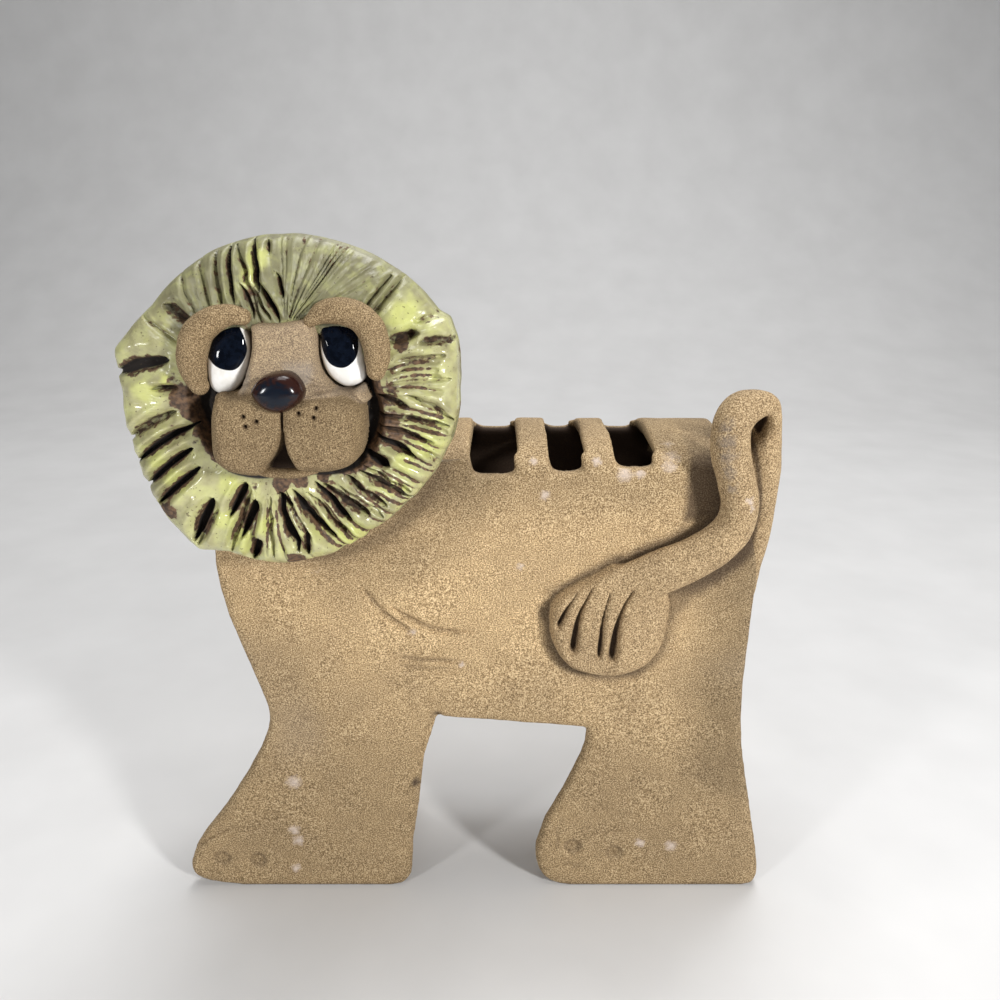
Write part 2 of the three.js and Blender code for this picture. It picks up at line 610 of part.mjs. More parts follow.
const pressedIntoMane = joined([...faceLumps(CLEARANCE), headParts(CLEARANCE)]);
place('body', body(), clay('#a98352'));
place('tail', tail(), clay('#a57f50'));
place('mane', mane(pressedIntoMane), glaze('#8f9440'));
place('face', face(), clay('#94704a'));
place('lower_lip', seated(lip(0), CLEARANCE), clay('#8f6b47'));
for (const name of Object.keys(BROW_PATHS)) {
  place(name, brow(name, 0), clay('#9a734c'));
}
for (const name of Object.keys(EYE_SPOTS)) {
  const shape = seated(eye(name, 0), CLEARANCE);
  const side = name.split('_')[0];
  place(name, shape.subtract(brow(`${side}_brow`, CLEARANCE)), glaze('#e9e4da'));
}
place('nose', nose(0), glaze('#1f1417'));

// The figure stands on its soles with its middle over the origin
const box = new THREE.Box3().setFromObject(figure);
const middle = box.getCenter(new THREE.Vector3());
figure.position.set(-middle.x, -middle.y, -box.min.z);

export default figure;
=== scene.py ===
"""Looks of a slab-built pottery lion: soft clay, glaze and tool marks over its solid parts.

Lengths are in millimetres until a mesh is made. The face and the mane are drawn in X and Z from
the middle of the head, and their heights stand on the plane that they are built up from.
"""

import math

import bpy
import numpy as np
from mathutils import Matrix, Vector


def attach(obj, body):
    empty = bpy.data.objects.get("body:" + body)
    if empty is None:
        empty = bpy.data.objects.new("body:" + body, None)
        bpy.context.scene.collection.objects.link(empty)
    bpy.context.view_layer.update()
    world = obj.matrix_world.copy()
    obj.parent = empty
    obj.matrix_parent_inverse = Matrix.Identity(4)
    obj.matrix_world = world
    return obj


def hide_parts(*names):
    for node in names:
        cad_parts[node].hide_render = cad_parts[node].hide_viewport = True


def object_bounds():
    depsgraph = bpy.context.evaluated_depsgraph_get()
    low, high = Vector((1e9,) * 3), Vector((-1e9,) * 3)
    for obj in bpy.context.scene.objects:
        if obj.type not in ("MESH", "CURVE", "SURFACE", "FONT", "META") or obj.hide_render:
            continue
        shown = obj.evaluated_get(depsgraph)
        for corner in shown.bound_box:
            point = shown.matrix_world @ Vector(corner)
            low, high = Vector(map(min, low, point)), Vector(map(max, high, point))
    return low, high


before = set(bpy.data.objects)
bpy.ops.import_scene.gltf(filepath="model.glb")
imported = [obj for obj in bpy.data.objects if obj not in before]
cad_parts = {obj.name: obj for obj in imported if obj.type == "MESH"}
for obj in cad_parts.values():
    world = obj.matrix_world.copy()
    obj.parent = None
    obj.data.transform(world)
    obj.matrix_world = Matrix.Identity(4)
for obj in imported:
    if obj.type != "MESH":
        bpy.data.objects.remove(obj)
cad_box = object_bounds()

MM = 0.001
HEAD = np.array([-37.74, 133])  # middle of the mane, X and Z
MANE_BACK = -14.03
SEAT = -20.53  # the flat of the mane that the face sits on
FRONT = -7.73  # outer face of the near slab
NEAR = FRONT + 2.4  # points in front of this belong to that face
TONE_ONE = 0.5  # the painted tone that leaves the clay's colour as it is


# Numbers and noise


SCATTER = (374761393, 668265263, 1440662683, 974634777)  # large numbers that mix the bits of a point


def lattice(x, y, z, seed):
    """A fixed random-looking number from 0 to 1 for each whole-numbered point."""
    n = sum(value * by for value, by in zip((x, y, z, seed), SCATTER)) & 0x7FFFFFFF
    n = ((n ^ (n >> 13)) * 1274126177) & 0x7FFFFFFF
    return ((n ^ (n >> 16)) & 0xFFFF) / 0xFFFF


def noise(points, size, seed=0):
    """Smooth noise from -1 to 1, in lumps of about that size."""
    p = np.asarray(points, float) / size
    cell = np.floor(p).astype(np.int64)
    part = p - cell
    part = part * part * (3 - 2 * part)
    total = np.zeros(len(p))
    for corner in np.ndindex(2, 2, 2):
        weight = np.prod(np.where(corner, part, 1 - part), axis=1)
        total += weight * lattice(*(cell + corner).T, seed)
    return 2 * total - 1


def smooth(value, low, high):
    """0 below low, 1 above high, and a soft step between."""
    t = np.clip((value - low) / (high - low), 0, 1)
    return t * t * (3 - 2 * t)


def fade(value, low, high):
    """The same step, turned round: 1 below low and 0 above high."""
    return 1 - smooth(value, low, high)


def bell(off, size, power=2):
    """1 at 0, falling to nothing over about that size, with a steeper side for a higher power."""
    return np.exp(-((off / size) ** power))


def tapered(along, rate, end=1):
    """1 along most of a line, falling to 0 at its start and at end."""
    return np.clip(rate * along * (end - along), 0, 1)


def away(points, place):
    """Each point's distance from one place."""
    return np.linalg.norm(points - np.asarray(place), axis=1)


def stand(flat, y):
    """Points in space, from their X and Z and a Y."""
    return np.insert(flat, 1, y, axis=1)


def curve(points, count, closed=False):
    """Points spaced along a smooth curve through the given ones."""
    p = np.asarray(points, float)
    n = len(p)
    spans = n if closed else n - 1
    t = np.linspace(0, spans, count, endpoint=not closed)
    k = np.minimum(t.astype(int), spans - 1)
    u = (t - k)[:, None]

    def at(i):
        return p[i % n] if closed else p[np.clip(i, 0, n - 1)]

    a, b, c, d = at(k - 1), at(k), at(k + 1), at(k + 2)
    return 0.5 * (
        2 * b + (c - a) * u + (2 * a - 5 * b + 4 * c - d) * u**2 + (3 * b - a - 3 * c + d) * u**3
    )


def to_line(points, line):
    """For each point: its distance to a line of points, and how far along the line that is, 0 to 1."""
    line = np.asarray(line, float)
    starts, runs = line[:-1], np.diff(line, axis=0)
    lengths = np.linalg.norm(runs, axis=1)
    before = np.concatenate([[0], np.cumsum(lengths)])
    best = np.full(len(points), 1e9)
    along = np.zeros(len(points))
    for start, run, length, done in zip(starts, runs, lengths, before):
        t = np.clip((points - start) @ run / max(length, 1e-9) ** 2, 0, 1)
        off = np.linalg.norm(points - start - t[:, None] * run, axis=1)
        nearer = off < best
        best[nearer] = off[nearer]
        along[nearer] = (done + t * length)[nearer] / before[-1]
    return best, along


def inside(points, outline):
    """For each point: how far it is inside a closed outline, negative outside."""
    ring = np.vstack([outline, outline[:1]])
    off, _ = to_line(points, ring)
    x, z = points.T
    odd = np.zeros(len(points), bool)
    for (x1, z1), (x2, z2) in zip(ring[:-1], ring[1:]):
        if z1 != z2:
            odd ^= ((z1 > z) != (z2 > z)) & (x < (x2 - x1) * (z - z1) / (z2 - z1) + x1)
    return np.where(odd, off, -off)


def within(points, outline, count=90):
    """For each point: how far it is inside a smooth outline through the given points."""
    return inside(points, curve(outline, count, closed=True))


def groove(points, line, width, depth, power=2):
    """How deep a tool mark is at each point: widest at its middle and fading at its ends."""
    off, along = to_line(points, line)
    half = 0.5 * width * np.clip(4 * along * (1 - along), 0.05, 1) ** 0.35
    return depth * bell(off, half, power) * tapered(along, 6) ** 0.5


# Meshes


def make(name, points, faces):
    """A smooth-shaded object from points in millimetres."""
    mesh = bpy.data.meshes.new(name)
    mesh.from_pydata((np.asarray(points) * MM).tolist(), [], faces)
    mesh.polygons.foreach_set("use_smooth", [True] * len(mesh.polygons))
    mesh.update()
    piece = bpy.data.objects.new(name, mesh)
    bpy.context.scene.collection.objects.link(piece)
    return piece


def applied(piece, kind, **settings):
    """Adds a modifier to a piece and makes its result the piece's mesh."""
    modifier = piece.modifiers.new(kind, kind)
    for key, value in settings.items():
        setattr(modifier, key, value)
    shown = piece.evaluated_get(bpy.context.evaluated_depsgraph_get())
    mesh = bpy.data.meshes.new_from_object(shown)
    piece.modifiers.clear()
    piece.data = mesh
    mesh.polygons.foreach_set("use_smooth", [True] * len(mesh.polygons))
    return piece


def read(piece, what="co"):
    """The piece's points in millimetres, or its unit normals."""
    values = np.zeros(3 * len(piece.data.vertices))
    if what == "co":
        piece.data.vertices.foreach_get("co", values)
        return values.reshape(-1, 3) / MM
    piece.data.vertex_normals.foreach_get("vector", values)
    return values.reshape(-1, 3)


def write(piece, points):
    piece.data.vertices.foreach_set("co", (points * MM).ravel())
    piece.data.update()


def paint(piece, name, values):
    """Stores one number a point for the piece's material."""
    layer = piece.data.attributes.new(name, "FLOAT", "POINT")
    layer.data.foreach_set("value", np.clip(values, 0, 1).astype(np.float32))


def grid_faces(rows, columns, closed=False):
    """Faces of a grid of points, numbered row by row."""
    faces = []
    for r in range(rows - 1):
        for c in range(columns if closed else columns - 1):
            d = (c + 1) % columns
            faces.append((r * columns + c, r * columns + d, (r + 1) * columns + d, (r + 1) * columns + c))
    return faces


def flat_grid(left, right, low, high, step):
    """Points in rows over an area, as X and Z, and how many rows and columns there are."""
    xs, zs = np.arange(left, right, step), np.arange(low, high, step)
    return np.column_stack([v.ravel() for v in np.meshgrid(xs, zs)]), len(zs), len(xs)


def tube_faces(rows, columns):
    """Faces of rings of points, with both ends closed."""
    ends = [tuple(range(columns))[::-1], tuple(range((rows - 1) * columns, rows * columns))]
    return grid_faces(rows, columns, closed=True) + ends


def coil(name, path, half_width, half_depth, steps=160, sides=36, lumps=0.12):
    """A roll of clay along a path, with rounded ends. Widths lie in the XZ plane, depths along Y."""
    middle = curve(path, steps)
    tangent = np.gradient(middle, axis=0)
    tangent /= np.linalg.norm(tangent, axis=1)[:, None]
    across = np.cross([0, 1, 0], tangent)
    across /= np.linalg.norm(across, axis=1)[:, None]
    outward = np.cross(tangent, across)
    t = np.linspace(0, 1, steps)
    width, depth = half_width(t), half_depth(t)
    turn = np.linspace(0, 2 * math.pi, sides, endpoint=False)

    def cap(end, way, angles):
        reach = way * tangent[end] * min(width[end], depth[end])
        return [(middle[end] + reach * math.sin(a), end, max(math.cos(a), 0.02)) for a in angles]

    quarter = math.pi / 2
    rings = cap(0, -1, np.linspace(1, 0, 8, endpoint=False) * quarter)
    rings += [(middle[i], i, 1) for i in range(steps)]
    rings += cap(-1, 1, np.linspace(0, 1, 9)[1:] * quarter)
    points = [
        centre
        + np.outer(np.cos(turn), across[i]) * width[i] * share
        + np.outer(np.sin(turn), outward[i]) * depth[i] * share
        for centre, i, share in rings
    ]
    points = np.vstack(points)
    piece = make(name, points, tube_faces(len(rings), sides))
    lift = lumps * noise(points, 3.5, 1) + 0.4 * lumps * noise(points, 1.2, 2)
    write(piece, read(piece) + read(piece, "normal") * lift[:, None])
    return piece


def domed(name, outline, base, bulge, fullness, peak=(0, 0), rows=60, sides=120):
    """A lens of clay over a closed outline, its edge on the base plane and its crown at peak."""
    ring = curve(outline, sides, closed=True)
    middle = ring.mean(0)
    points = []
    for share in np.linspace(1, 0, rows, endpoint=False):
        lift = (1 - share**fullness) ** (1 / fullness)
        flat = middle + np.array(peak) * (1 - share) + (ring - middle) * share
        points.append(stand(flat + HEAD, base - bulge * lift))
    points = [points[0] + [0, 1.2, 0]] + points
    faces = [f[::-1] for f in tube_faces(len(points), sides)]
    return make(name, np.vstack(points), faces)


# Materials


class Look:
    """A node material, built up a node at a time. Sizes are in millimetres."""

    def __init__(self, name, **fixed):
        self.material = bpy.data.materials.new(name)
        self.material.use_nodes = True
        self.tree = self.material.node_tree
        self.shader = self.tree.nodes["Principled BSDF"]
        self.place = self.tree.nodes.new("ShaderNodeTexCoord").outputs["Object"]
        for socket, value in fixed.items():
            self.shader.inputs[socket.replace("_", " ")].default_value = value

    def node(self, kind, inputs=None, output=0, **settings):
        node = self.tree.nodes.new("ShaderNode" + kind)
        for key, value in settings.items():
            setattr(node, key, value)
        for key, value in (inputs or {}).items():
            if isinstance(value, bpy.types.NodeSocket):
                self.tree.links.new(value, node.inputs[key])
            else:
                node.inputs[key].default_value = value
        return node.outputs[output]

    def noise(self, size, detail, roughness=0.5):
        inputs = {"Vector": self.place, "Scale": 1 / (size * MM), "Detail": detail, "Roughness": roughness}
        return self.node("TexNoise", inputs)

    def painted(self, name):
        return self.node("Attribute", output=2, attribute_name=name)

    def math(self, operation, a, b=0, clamp=False):
        return self.node("Math", {0: a, 1: b}, operation=operation, use_clamp=clamp)

    def times(self, a, b):
        return self.math("MULTIPLY", a, b)

    def step(self, value, low, high, start=0, end=1):
        inputs = {"Value": value, "From Min": low, "From Max": high, "To Min": start, "To Max": end}
        return self.node("MapRange", inputs)

    def mix(self, factor, a, b, blend="MIX"):
        pair = [(*v, 1) if isinstance(v, tuple) else v for v in (a, b)]
        inputs = {0: factor, 6: pair[0], 7: pair[1]}
        return self.node("Mix", inputs, output=2, data_type="RGBA", blend_type=blend)

    def ramp(self, factor, *stops):
        node = self.tree.nodes.new("ShaderNodeValToRGB")
        self.tree.links.new(factor, node.inputs[0])
        while len(node.color_ramp.elements) < len(stops):
            node.color_ramp.elements.new(0.5)
        for element, (position, colour) in zip(node.color_ramp.elements, stops):
            element.position = position
            element.color = (*colour, 1)
        return node.outputs["Color"]

    def ragged(self, size, detail, reach):
        """Noise that swings by that much either way."""
        return self.step(self.noise(size, detail), 0.3, 0.7, -reach, reach)

    def mottled(self, size, detail, dark, light, low=0.35, high=0.65):
        """Noise that runs from one colour to another."""
        return self.ramp(self.noise(size, detail), (low, dark), (high, light))

    def over(self, colour, top, where, share=1):
        """Lays a colour over another, by a share of where."""
        return self.mix(where if share == 1 else self.times(where, share), colour, top)

    def vector(self, operation, inputs, output=0):
        return self.node("VectorMath", inputs, output, operation=operation)

    def spots(self, places, wobble=0.5):
        """1 within a ragged spot round each (x, y, z, radius), 0 outside."""
        ragged = self.ragged(1.1, 2, wobble * MM)
        total = None
        for x, y, z, radius in places:
            centre = (x * MM, y * MM, z * MM)
            off = self.vector("DISTANCE", {0: self.place, 1: centre}, 1)
            spot = self.step(self.math("ADD", off, ragged), radius * MM, 0.2 * radius * MM)
            total = spot if total is None else self.math("MAXIMUM", total, spot)
        return total

    def use(self, **links):
        for socket, value in links.items():
            self.tree.links.new(value, self.shader.inputs[socket.replace("_", " ")])

    def bump(self, height, distance, strength=1):
        inputs = {"Height": height, "Distance": distance * MM, "Strength": strength}
        normal = self.shader.inputs["Normal"]
        if normal.is_linked:
            inputs["Normal"] = normal.links[0].from_socket
        self.use(Normal=self.node("Bump", inputs))


# Colours are linear red, green and blue
GLAZE_DROP = (0.62, 0.52, 0.46)
SMUDGE_GREY = (0.15, 0.13, 0.12)
SLIP_GREY = (0.310, 0.272, 0.238)
DIRT_AND_SHADE = (0.040, 0.023, 0.015)
POOLED_GREEN = (0.58, 0.6, 0.205)
SHADE_BLACK = (0.010, 0.006, 0.004)
FLECK_BROWN = (0.09, 0.065, 0.03)
EYE_RIM = (0.060, 0.035, 0.022)


def clay(name, dark, middle, light, size, spots=(), stains=()):
    """Unglazed clay: fine grains of grog in three tones, mottled a little at larger sizes, and its marks,
    with painted shade carried in its painted tone and marks.
    """
    look = Look(name, Roughness=0.82, Specular_IOR_Level=0.28)
    grain = look.noise(size, 1, roughness=0.6)
    colour = look.ramp(grain, (0.3, dark), (0.5, middle), (0.7, light))
    wash = look.mottled(13, 2.5, (0.91, 0.9, 0.9), (1.04, 1.03, 1.02), high=0.62)
    patches = look.mottled(2.4, 2, (0.93, 0.92, 0.91), (1.04, 1.04, 1.04))
    # The painted tone is partly painted shade
    tone = look.times(look.painted("tone"), 1 / TONE_ONE)
    for shade in (wash, patches, look.node("CombineColor", {0: tone, 1: tone, 2: tone})):
        colour = look.mix(1, colour, shade, "MULTIPLY")
    look.bump(grain, 0.08, 0.6)
    if spots:
        colour = look.over(colour, GLAZE_DROP, look.spots(spots), 0.62)
    if stains:
        colour = look.over(colour, SMUDGE_GREY, look.spots(stains, 0.9), 0.5)
    colour = look.over(colour, SLIP_GREY, look.painted("smear"), 0.6)
    # Dark marks and painted shade: grooves, pits, slots and contacts are painted dark as shade, along with
    # real spots
    colour = look.over(colour, DIRT_AND_SHADE, look.painted("mark"), 0.97)
    look.use(Base_Color=colour)
    return look.material


def glazed_mane():
    """Green glaze that pools bright, is dull at the top, and leaves clay bare in the cuts, with painted black
    shade in the deep cuts and gaps.
    """
    look = Look("mane_glaze", Specular_IOR_Level=0.62)
    tone = look.noise(4.5, 3)
    greens = [(0.3, (0.31, 0.285, 0.150)), (0.5, (0.46, 0.44, 0.225)), (0.7, (0.58, 0.585, 0.260))]
    colour = look.ramp(tone, *greens)
    dull = look.painted("dull")
    matt = look.mottled(3.2, 3, (0.098, 0.090, 0.050), (0.168, 0.158, 0.086), 0.3, 0.7)
    colour = look.over(colour, matt, dull, 0.8)
    pool = look.math("ADD", look.painted("pool"), look.ragged(2, 2, 0.3), clamp=True)
    colour = look.over(colour, POOLED_GREEN, pool, 0.85)
    bare = look.step(look.math("ADD", look.painted("bare"), look.ragged(1.3, 3, 0.3)), 0.42, 0.62)
    brown = look.mottled(0.9, 2, (0.042, 0.022, 0.012), (0.165, 0.092, 0.046))
    colour = look.over(colour, brown, bare)
    grog = [(0.3, (0.13, 0.085, 0.042)), (0.5, (0.34, 0.24, 0.13)), (0.7, (0.62, 0.47, 0.28))]
    colour = look.over(colour, look.ramp(look.noise(0.35, 1), *grog), look.painted("raw"))
    # Painted black shade in the deep cuts, the gap round the face and below the cheeks
    deep = look.step(look.painted("deep"), 0.35, 0.75)
    colour = look.over(colour, SHADE_BLACK, deep)
    flecks = look.step(look.noise(0.7, 1), 0.7, 0.74)
    colour = look.over(colour, FLECK_BROWN, flecks, 0.7)
    rough = look.step(tone, 0.3, 0.7, 0.13, 0.24)
    for where, share in ((bare, 0.48), (dull, 0.34), (deep, 0.5)):
        rough = look.math("ADD", rough, look.times(where, share), clamp=where is deep)
    look.use(Base_Color=colour, Roughness=rough)
    look.bump(look.noise(1.1, 2), 0.06, 0.35)

    # Fine lines that run outwards from the face: noise over the direction, drawn out along the reach
    out = look.vector("SUBTRACT", {0: look.place, 1: (HEAD[0] * MM, 0, HEAD[1] * MM)})
    out = look.vector("MULTIPLY", {0: out, 1: (1, 0, 1)})
    reach = look.vector("LENGTH", {0: out}, 1)
    way = look.vector("SCALE", {0: look.vector("NORMALIZE", {0: out}), 3: 26})
    rise = look.node("CombineXYZ", {1: look.times(reach, 1 / (11 * MM))})
    lines = {"Vector": look.vector("ADD", {0: way, 1: rise}), "Scale": 1, "Detail": 2}
    look.bump(look.node("TexNoise", lines), 0.45, 0.55)
    return look.material


def glazed_eye():
    look = Look("eye_glaze", Roughness=0.05, Specular_IOR_Level=0.17)
    white = look.mottled(2.2, 2, (0.8, 0.78, 0.73), (0.93, 0.92, 0.9))
    black = look.mottled(1.4, 2, (0.001, 0.002, 0.005), (0.004, 0.007, 0.015), high=0.7)
    colour = look.over(white, black, look.step(look.painted("pupil"), 0.4, 0.6))
    look.use(Base_Color=look.over(colour, EYE_RIM, look.painted("rim")))
    look.bump(look.noise(1.8, 1), 0.02, 0.3)
    return look.material


def glazed_nose():
    look = Look("nose_glaze", Roughness=0.17, Specular_IOR_Level=0.28)
    crown = look.math("ADD", look.painted("crown"), look.ragged(1.2, 3, 0.35))
    red, brown, black = (0.026, 0.009, 0.007), (0.010, 0.007, 0.010), (0.005, 0.008, 0.015)
    look.use(Base_Color=look.ramp(crown, (0.22, red), (0.5, brown), (0.8, black)))
    look.bump(look.noise(0.8, 2), 0.03, 0.4)
    return look.material


# Body


def soft_copy(name, node, voxel, passes):
    """A CAD solid as soft clay: rebuilt on an even grid, with its edges smoothed round."""
    piece = bpy.data.objects.new(name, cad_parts[node].data.copy())
    piece.data.materials.clear()
    bpy.context.scene.collection.objects.link(piece)
    applied(piece, "REMESH", mode="VOXEL", voxel_size=voxel * MM)
    return applied(piece, "SMOOTH", factor=0.5, iterations=passes)


# Marks pressed into the near slab: a line of X and Z, width and depth
SHOULDER = [
    ([(-27, 87.6), (-26, 86.4), (-23.1, 82.2), (-20.3, 79.3), (-16.8, 76.6), (-13.9, 73.7)], 1.7, 1.2),
    (
        [(-20.4, 82.5), (-17.8, 80.3), (-15.2, 78.8), (-11.5, 76.7), (-7.4, 75.4), (-3.7, 74.9), (1.6, 74.9)],
        1.7, 1.6,
    ),
    ([(-20, 68.6), (-15.8, 67.9), (-11.2, 67.4), (-5.3, 67.1), (-1.5, 66.4)], 1.6, 1.3),
    ([(-19.6, 66), (-11, 65.2), (-2.8, 64.7)], 1.8, 0.9),
]
# Where the corner beside the tail is painted dark: partly stained clay and partly the tail's painted shadow
STAIN_AND_SHADOW = [(50.6, 125), (50.4, 114.9), (49.2, 103), (58.5, 105), (60, 125)]
SLOTS = [(5.35, 5.5, 1.4), (22.45, 4.2, 0.85), (38.25, 4.9, -0.1)]  # middle, half the width, dip of the rim
STRAP_WALLS = (10.85, 26.65, 43.15)  # the slots' walls on the tail's side
NICK = (-9, 51.8)  # at the top of the near front leg
LINT = (-15, 32.4)
TOES = [(-67.1, 8.6), (-57.6, 8.1), (26.1, 12.4), (37.1, 10.4)]
TOE_SLITS = [
    ([(-74.5, 11), (-70.6, 14.2), (-66.6, 16.7), (-62, 18.6)], 1, 0.9),
    ([(23.2, 22.4), (22, 17.9), (21.8, 14.2), (22.3, 10.4)], 0.9, 0.8),
    ([(23, 7.3), (26.8, 6.2), (30.6, 5.4)], 0.9, 0.9),
]


def within_box(points):
    low, high = (np.array(corner) / MM for corner in cad_box)
    return np.clip(points, low, high)


def clay_body():
    piece = soft_copy("clay_body", "body", voxel=0.72, passes=5)
    points = read(piece)

    # The neck swells out of the slab in one long curve where it shows beside the mane
    from_head = points[:, [0, 2]] - HEAD
    round_head = np.linalg.norm(from_head, axis=1)
    bearing = np.degrees(np.arctan2(from_head[:, 1], from_head[:, 0]))
    swell = FRONT - 6 * fade(round_head, 29, 47)
    shown = smooth(bearing, -112, -92) * fade(bearing, -8, 10) * smooth(round_head, 29, 33)
    shown *= (points[:, 1] < FRONT + 0.4) & (round_head < 50)
    points[:, 1] += shown * (swell - points[:, 1])
    write(piece, points)
    points, normals = read(piece), read(piece, "normal")
    flat = points[:, [0, 2]]
    x, y, z = points.T  # a change to one of these moves the points
    near = y < NEAR

    # The slots' front rims dip towards the head, and the straps between them stand upright
    for middle, half, dip in SLOTS:
        across = smooth(half + 0.8 - np.abs(x - middle), 0, 1.4)
        rim = smooth(z, 109, 114.4) * fade(z, 116.6, 118.2)
        z -= dip * across * rim * (y < FRONT + 7)
    for wall in STRAP_WALLS:
        strap = smooth(x, wall - 1.5, wall - 0.2) * fade(x, wall + 2.6, wall + 5.6)
        x -= 1.9 * strap * smooth(z, 115, 121.5)

    # The front face is levelled where the marks go, and then they are pressed in again, finer
    shoulder = near & (x > -32) & (x < 6) & (z > 60) & (z < 91) & (away(flat, HEAD) > 43.5)
    paws = near & (z < 21) & (z > 4) & (normals[:, 1] < -0.5)
    paws &= ((x > -70) & (x < -30)) | ((x > 22) & (x < 70))
    y[shoulder | paws] = FRONT
    cut = np.zeros(len(points))
    for line, width, depth in SHOULDER + TOE_SLITS:
        path = curve(line, 40)
        cut = np.maximum(cut, groove(flat, path, width, depth))
        cut -= 0.3 * groove(flat - [0, -1.5], path, 1.4, 1)
    for toe in TOES:
        off = away(flat, toe)
        cut = np.maximum(cut, bell(off, 1.9, 4) + 0.35 * bell(off - 1.9, 0.5))

    # A knife's bevel down the inner edge of the near front leg
    edge, along = to_line(flat, [(-9.2, 51.6), (-12.6, 45), (-14.6, 36), (-16, 26)])
    bevel = 0.9 * np.clip(1.9 * (1 - along) - edge, 0, 2)
    y += np.where(near, cut + bevel, 0)

    lumps = 0.2 * noise(points, 15, 3) + 0.1 * noise(points, 6, 4) + 0.045 * noise(points, 2.2, 5)
    lumps *= smooth(z, 0.2, 3)
    points += normals * lumps[:, None]
    z[:] = np.maximum(z, 0)
    write(piece, within_box(points))
    applied(piece, "DECIMATE", ratio=0.58)
    paint_body(piece)
    return piece


def paint_body(piece):
    """Marks, dirt, staining, painted shade in grooves, in the slots and where parts meet, and tones that are
    partly painted shade.
    """
    points = read(piece)
    flat = points[:, [0, 2]]
    x, y, z = points.T
    near = y < NEAR

    marks = [0.85 * bell(away(flat, NICK), 0.9)]
    marks.append(0.9 * bell(away(flat, LINT) + 0.5 * noise(points, 0.8, 9), 1.2, 4))
    # Painted shade in the pressed lines and toe slits, and in and round the toe pits
    for line, width, depth in SHOULDER + TOE_SLITS:
        dent = groove(flat, curve(line, 40), width, 1)
        marks.append((0.28 if depth < 1 else 0.46) * smooth(dent, 0.45, 0.95))
    for toe in TOES:
        marks.append(0.24 * bell(away(flat - toe, [0.3, -0.8]), 1.5, 4))
        marks.append((0.36 + 0.1 * (x > toe[0])) * bell(away(flat, toe) - 1.75, 0.5))

    # Painted shadow where the tail is pressed on, wider below its rope where the rope's shadow falls, with a
    # soft painted shade to the tuft's right
    strand = np.array(TAIL)[FRONT_STRAND:]
    off, along = to_line(flat, curve(strand[:, [0, 2]], 90))
    beside = off - np.interp(along, np.linspace(0, 1, len(strand)), strand[:, 3])
    tuft = -within(flat, TUFT)
    shadow_under = smooth(94 + 0.45 * (x - 45) - z, -2, 2) * smooth(z, 77, 85)
    start = 0.2 + 3.6 * shadow_under + 0.9 * smooth(76 - z, 0, 6)
    line = 0.8 * fade(np.minimum(beside, tuft), start, start + 2 + shadow_under)
    marks.append(line * (1 - 0.35 * smooth(x, 38, 46) * fade(z, 82, 88)))
    marks.append(0.38 * fade(tuft, 0, 4.2) * smooth(x, 36, 45))
    mark = np.where(near, np.maximum.reduce(marks), 0)

    # Painted shade in the join behind the mane and along the bottoms of the feet, and painted shade inside
    # the slots
    head = away(flat - HEAD, [0, -2.1])
    join = bell(head - 34, 2.6) * (y < FRONT)
    shaded_soles = smooth(-z, -1, -0.1)
    inward = smooth(y, FRONT + 2, FRONT + 5) * smooth(-y, -32, -30.4)
    facing = read(piece, "normal")[:, 0]
    shaded_hollow = (z > 56.5) & (z < 118.2) & (x > -56) & (x < 64)
    shaded_hollow &= (z < 112) | ((x > -4) & (x < 47))
    shaded_hollow &= ~((facing < -0.1) & (x < -30)) & ~((facing > 0.1) & (x > 50))
    # A dark patch beside the tail, partly stained clay and partly painted shadow of the tail, fading towards
    # the top and the back
    stain_and_shadow = inside(flat, np.array(STAIN_AND_SHADOW)) + 0.5 * noise(points, 4, 13)
    stain_and_shadow = 0.82 * smooth(stain_and_shadow, -0.6, 1) * (1 - 0.4 * smooth(z, 117, 124))
    stain_and_shadow *= 1 - 0.5 * smooth(y, FRONT, FRONT + 7) - 0.5 * smooth(y, 2, 28)
    paint(piece, "mark", np.maximum.reduce([mark, 0.45 * join, 0.5 * shaded_soles, shaded_hollow * inward, stain_and_shadow]))
    paint(piece, "smear", 0.3 * smooth(noise(points, 22, 12), 0.25, 0.8) * smooth(z, 20, 60))

    # Painted shade, partly the clay's own tone: paler over the flank; browner and darker on the legs, the
    # rump's edge, the back, the neck beside the mane and the chest
    soft = 4 * noise(points, 14, 14)
    tone = 1.10 - 0.18 * fade(z + soft, 30, 58) - 0.22 * fade(z + soft, 52, 84)
    tone -= 0.52 * smooth(x + soft, 46, 68) * smooth(z, 20, 50)
    tone -= 0.28 * smooth(z + soft, 100, 114)
    neck = fade(head + soft, 42, 54) * smooth(x, -46, -30)
    tone -= 0.28 * neck * fade(y, FRONT - 1, FRONT + 9)
    tone -= 0.16 * fade(x + soft, -52, -34) * smooth(z, 40, 64)
    paint(piece, "tone", TONE_ONE * np.maximum(tone, 0.54))


# Mane

# Outline of the mane: angle in degrees, radius
OUTLINE = [
    (-178, 35.6), (-163, 35.6), (-152, 36.4), (-140, 38), (-125, 39.2), (-116, 36.4), (-96, 35.8),
    (-85, 34.5), (-60, 32.2), (-47, 32), (-35, 32.5), (-6, 35.1), (13, 36.7), (21, 38.2), (27, 38.7),
    (29, 38.9), (32, 37.5), (45, 37.3), (54, 36.8), (70, 36), (86, 35.6), (100, 35.3), (114, 35.2),
    (130, 34.9), (143, 34.9), (153, 36.4), (160, 37.9), (167, 36.8), (174, 35.7),
]
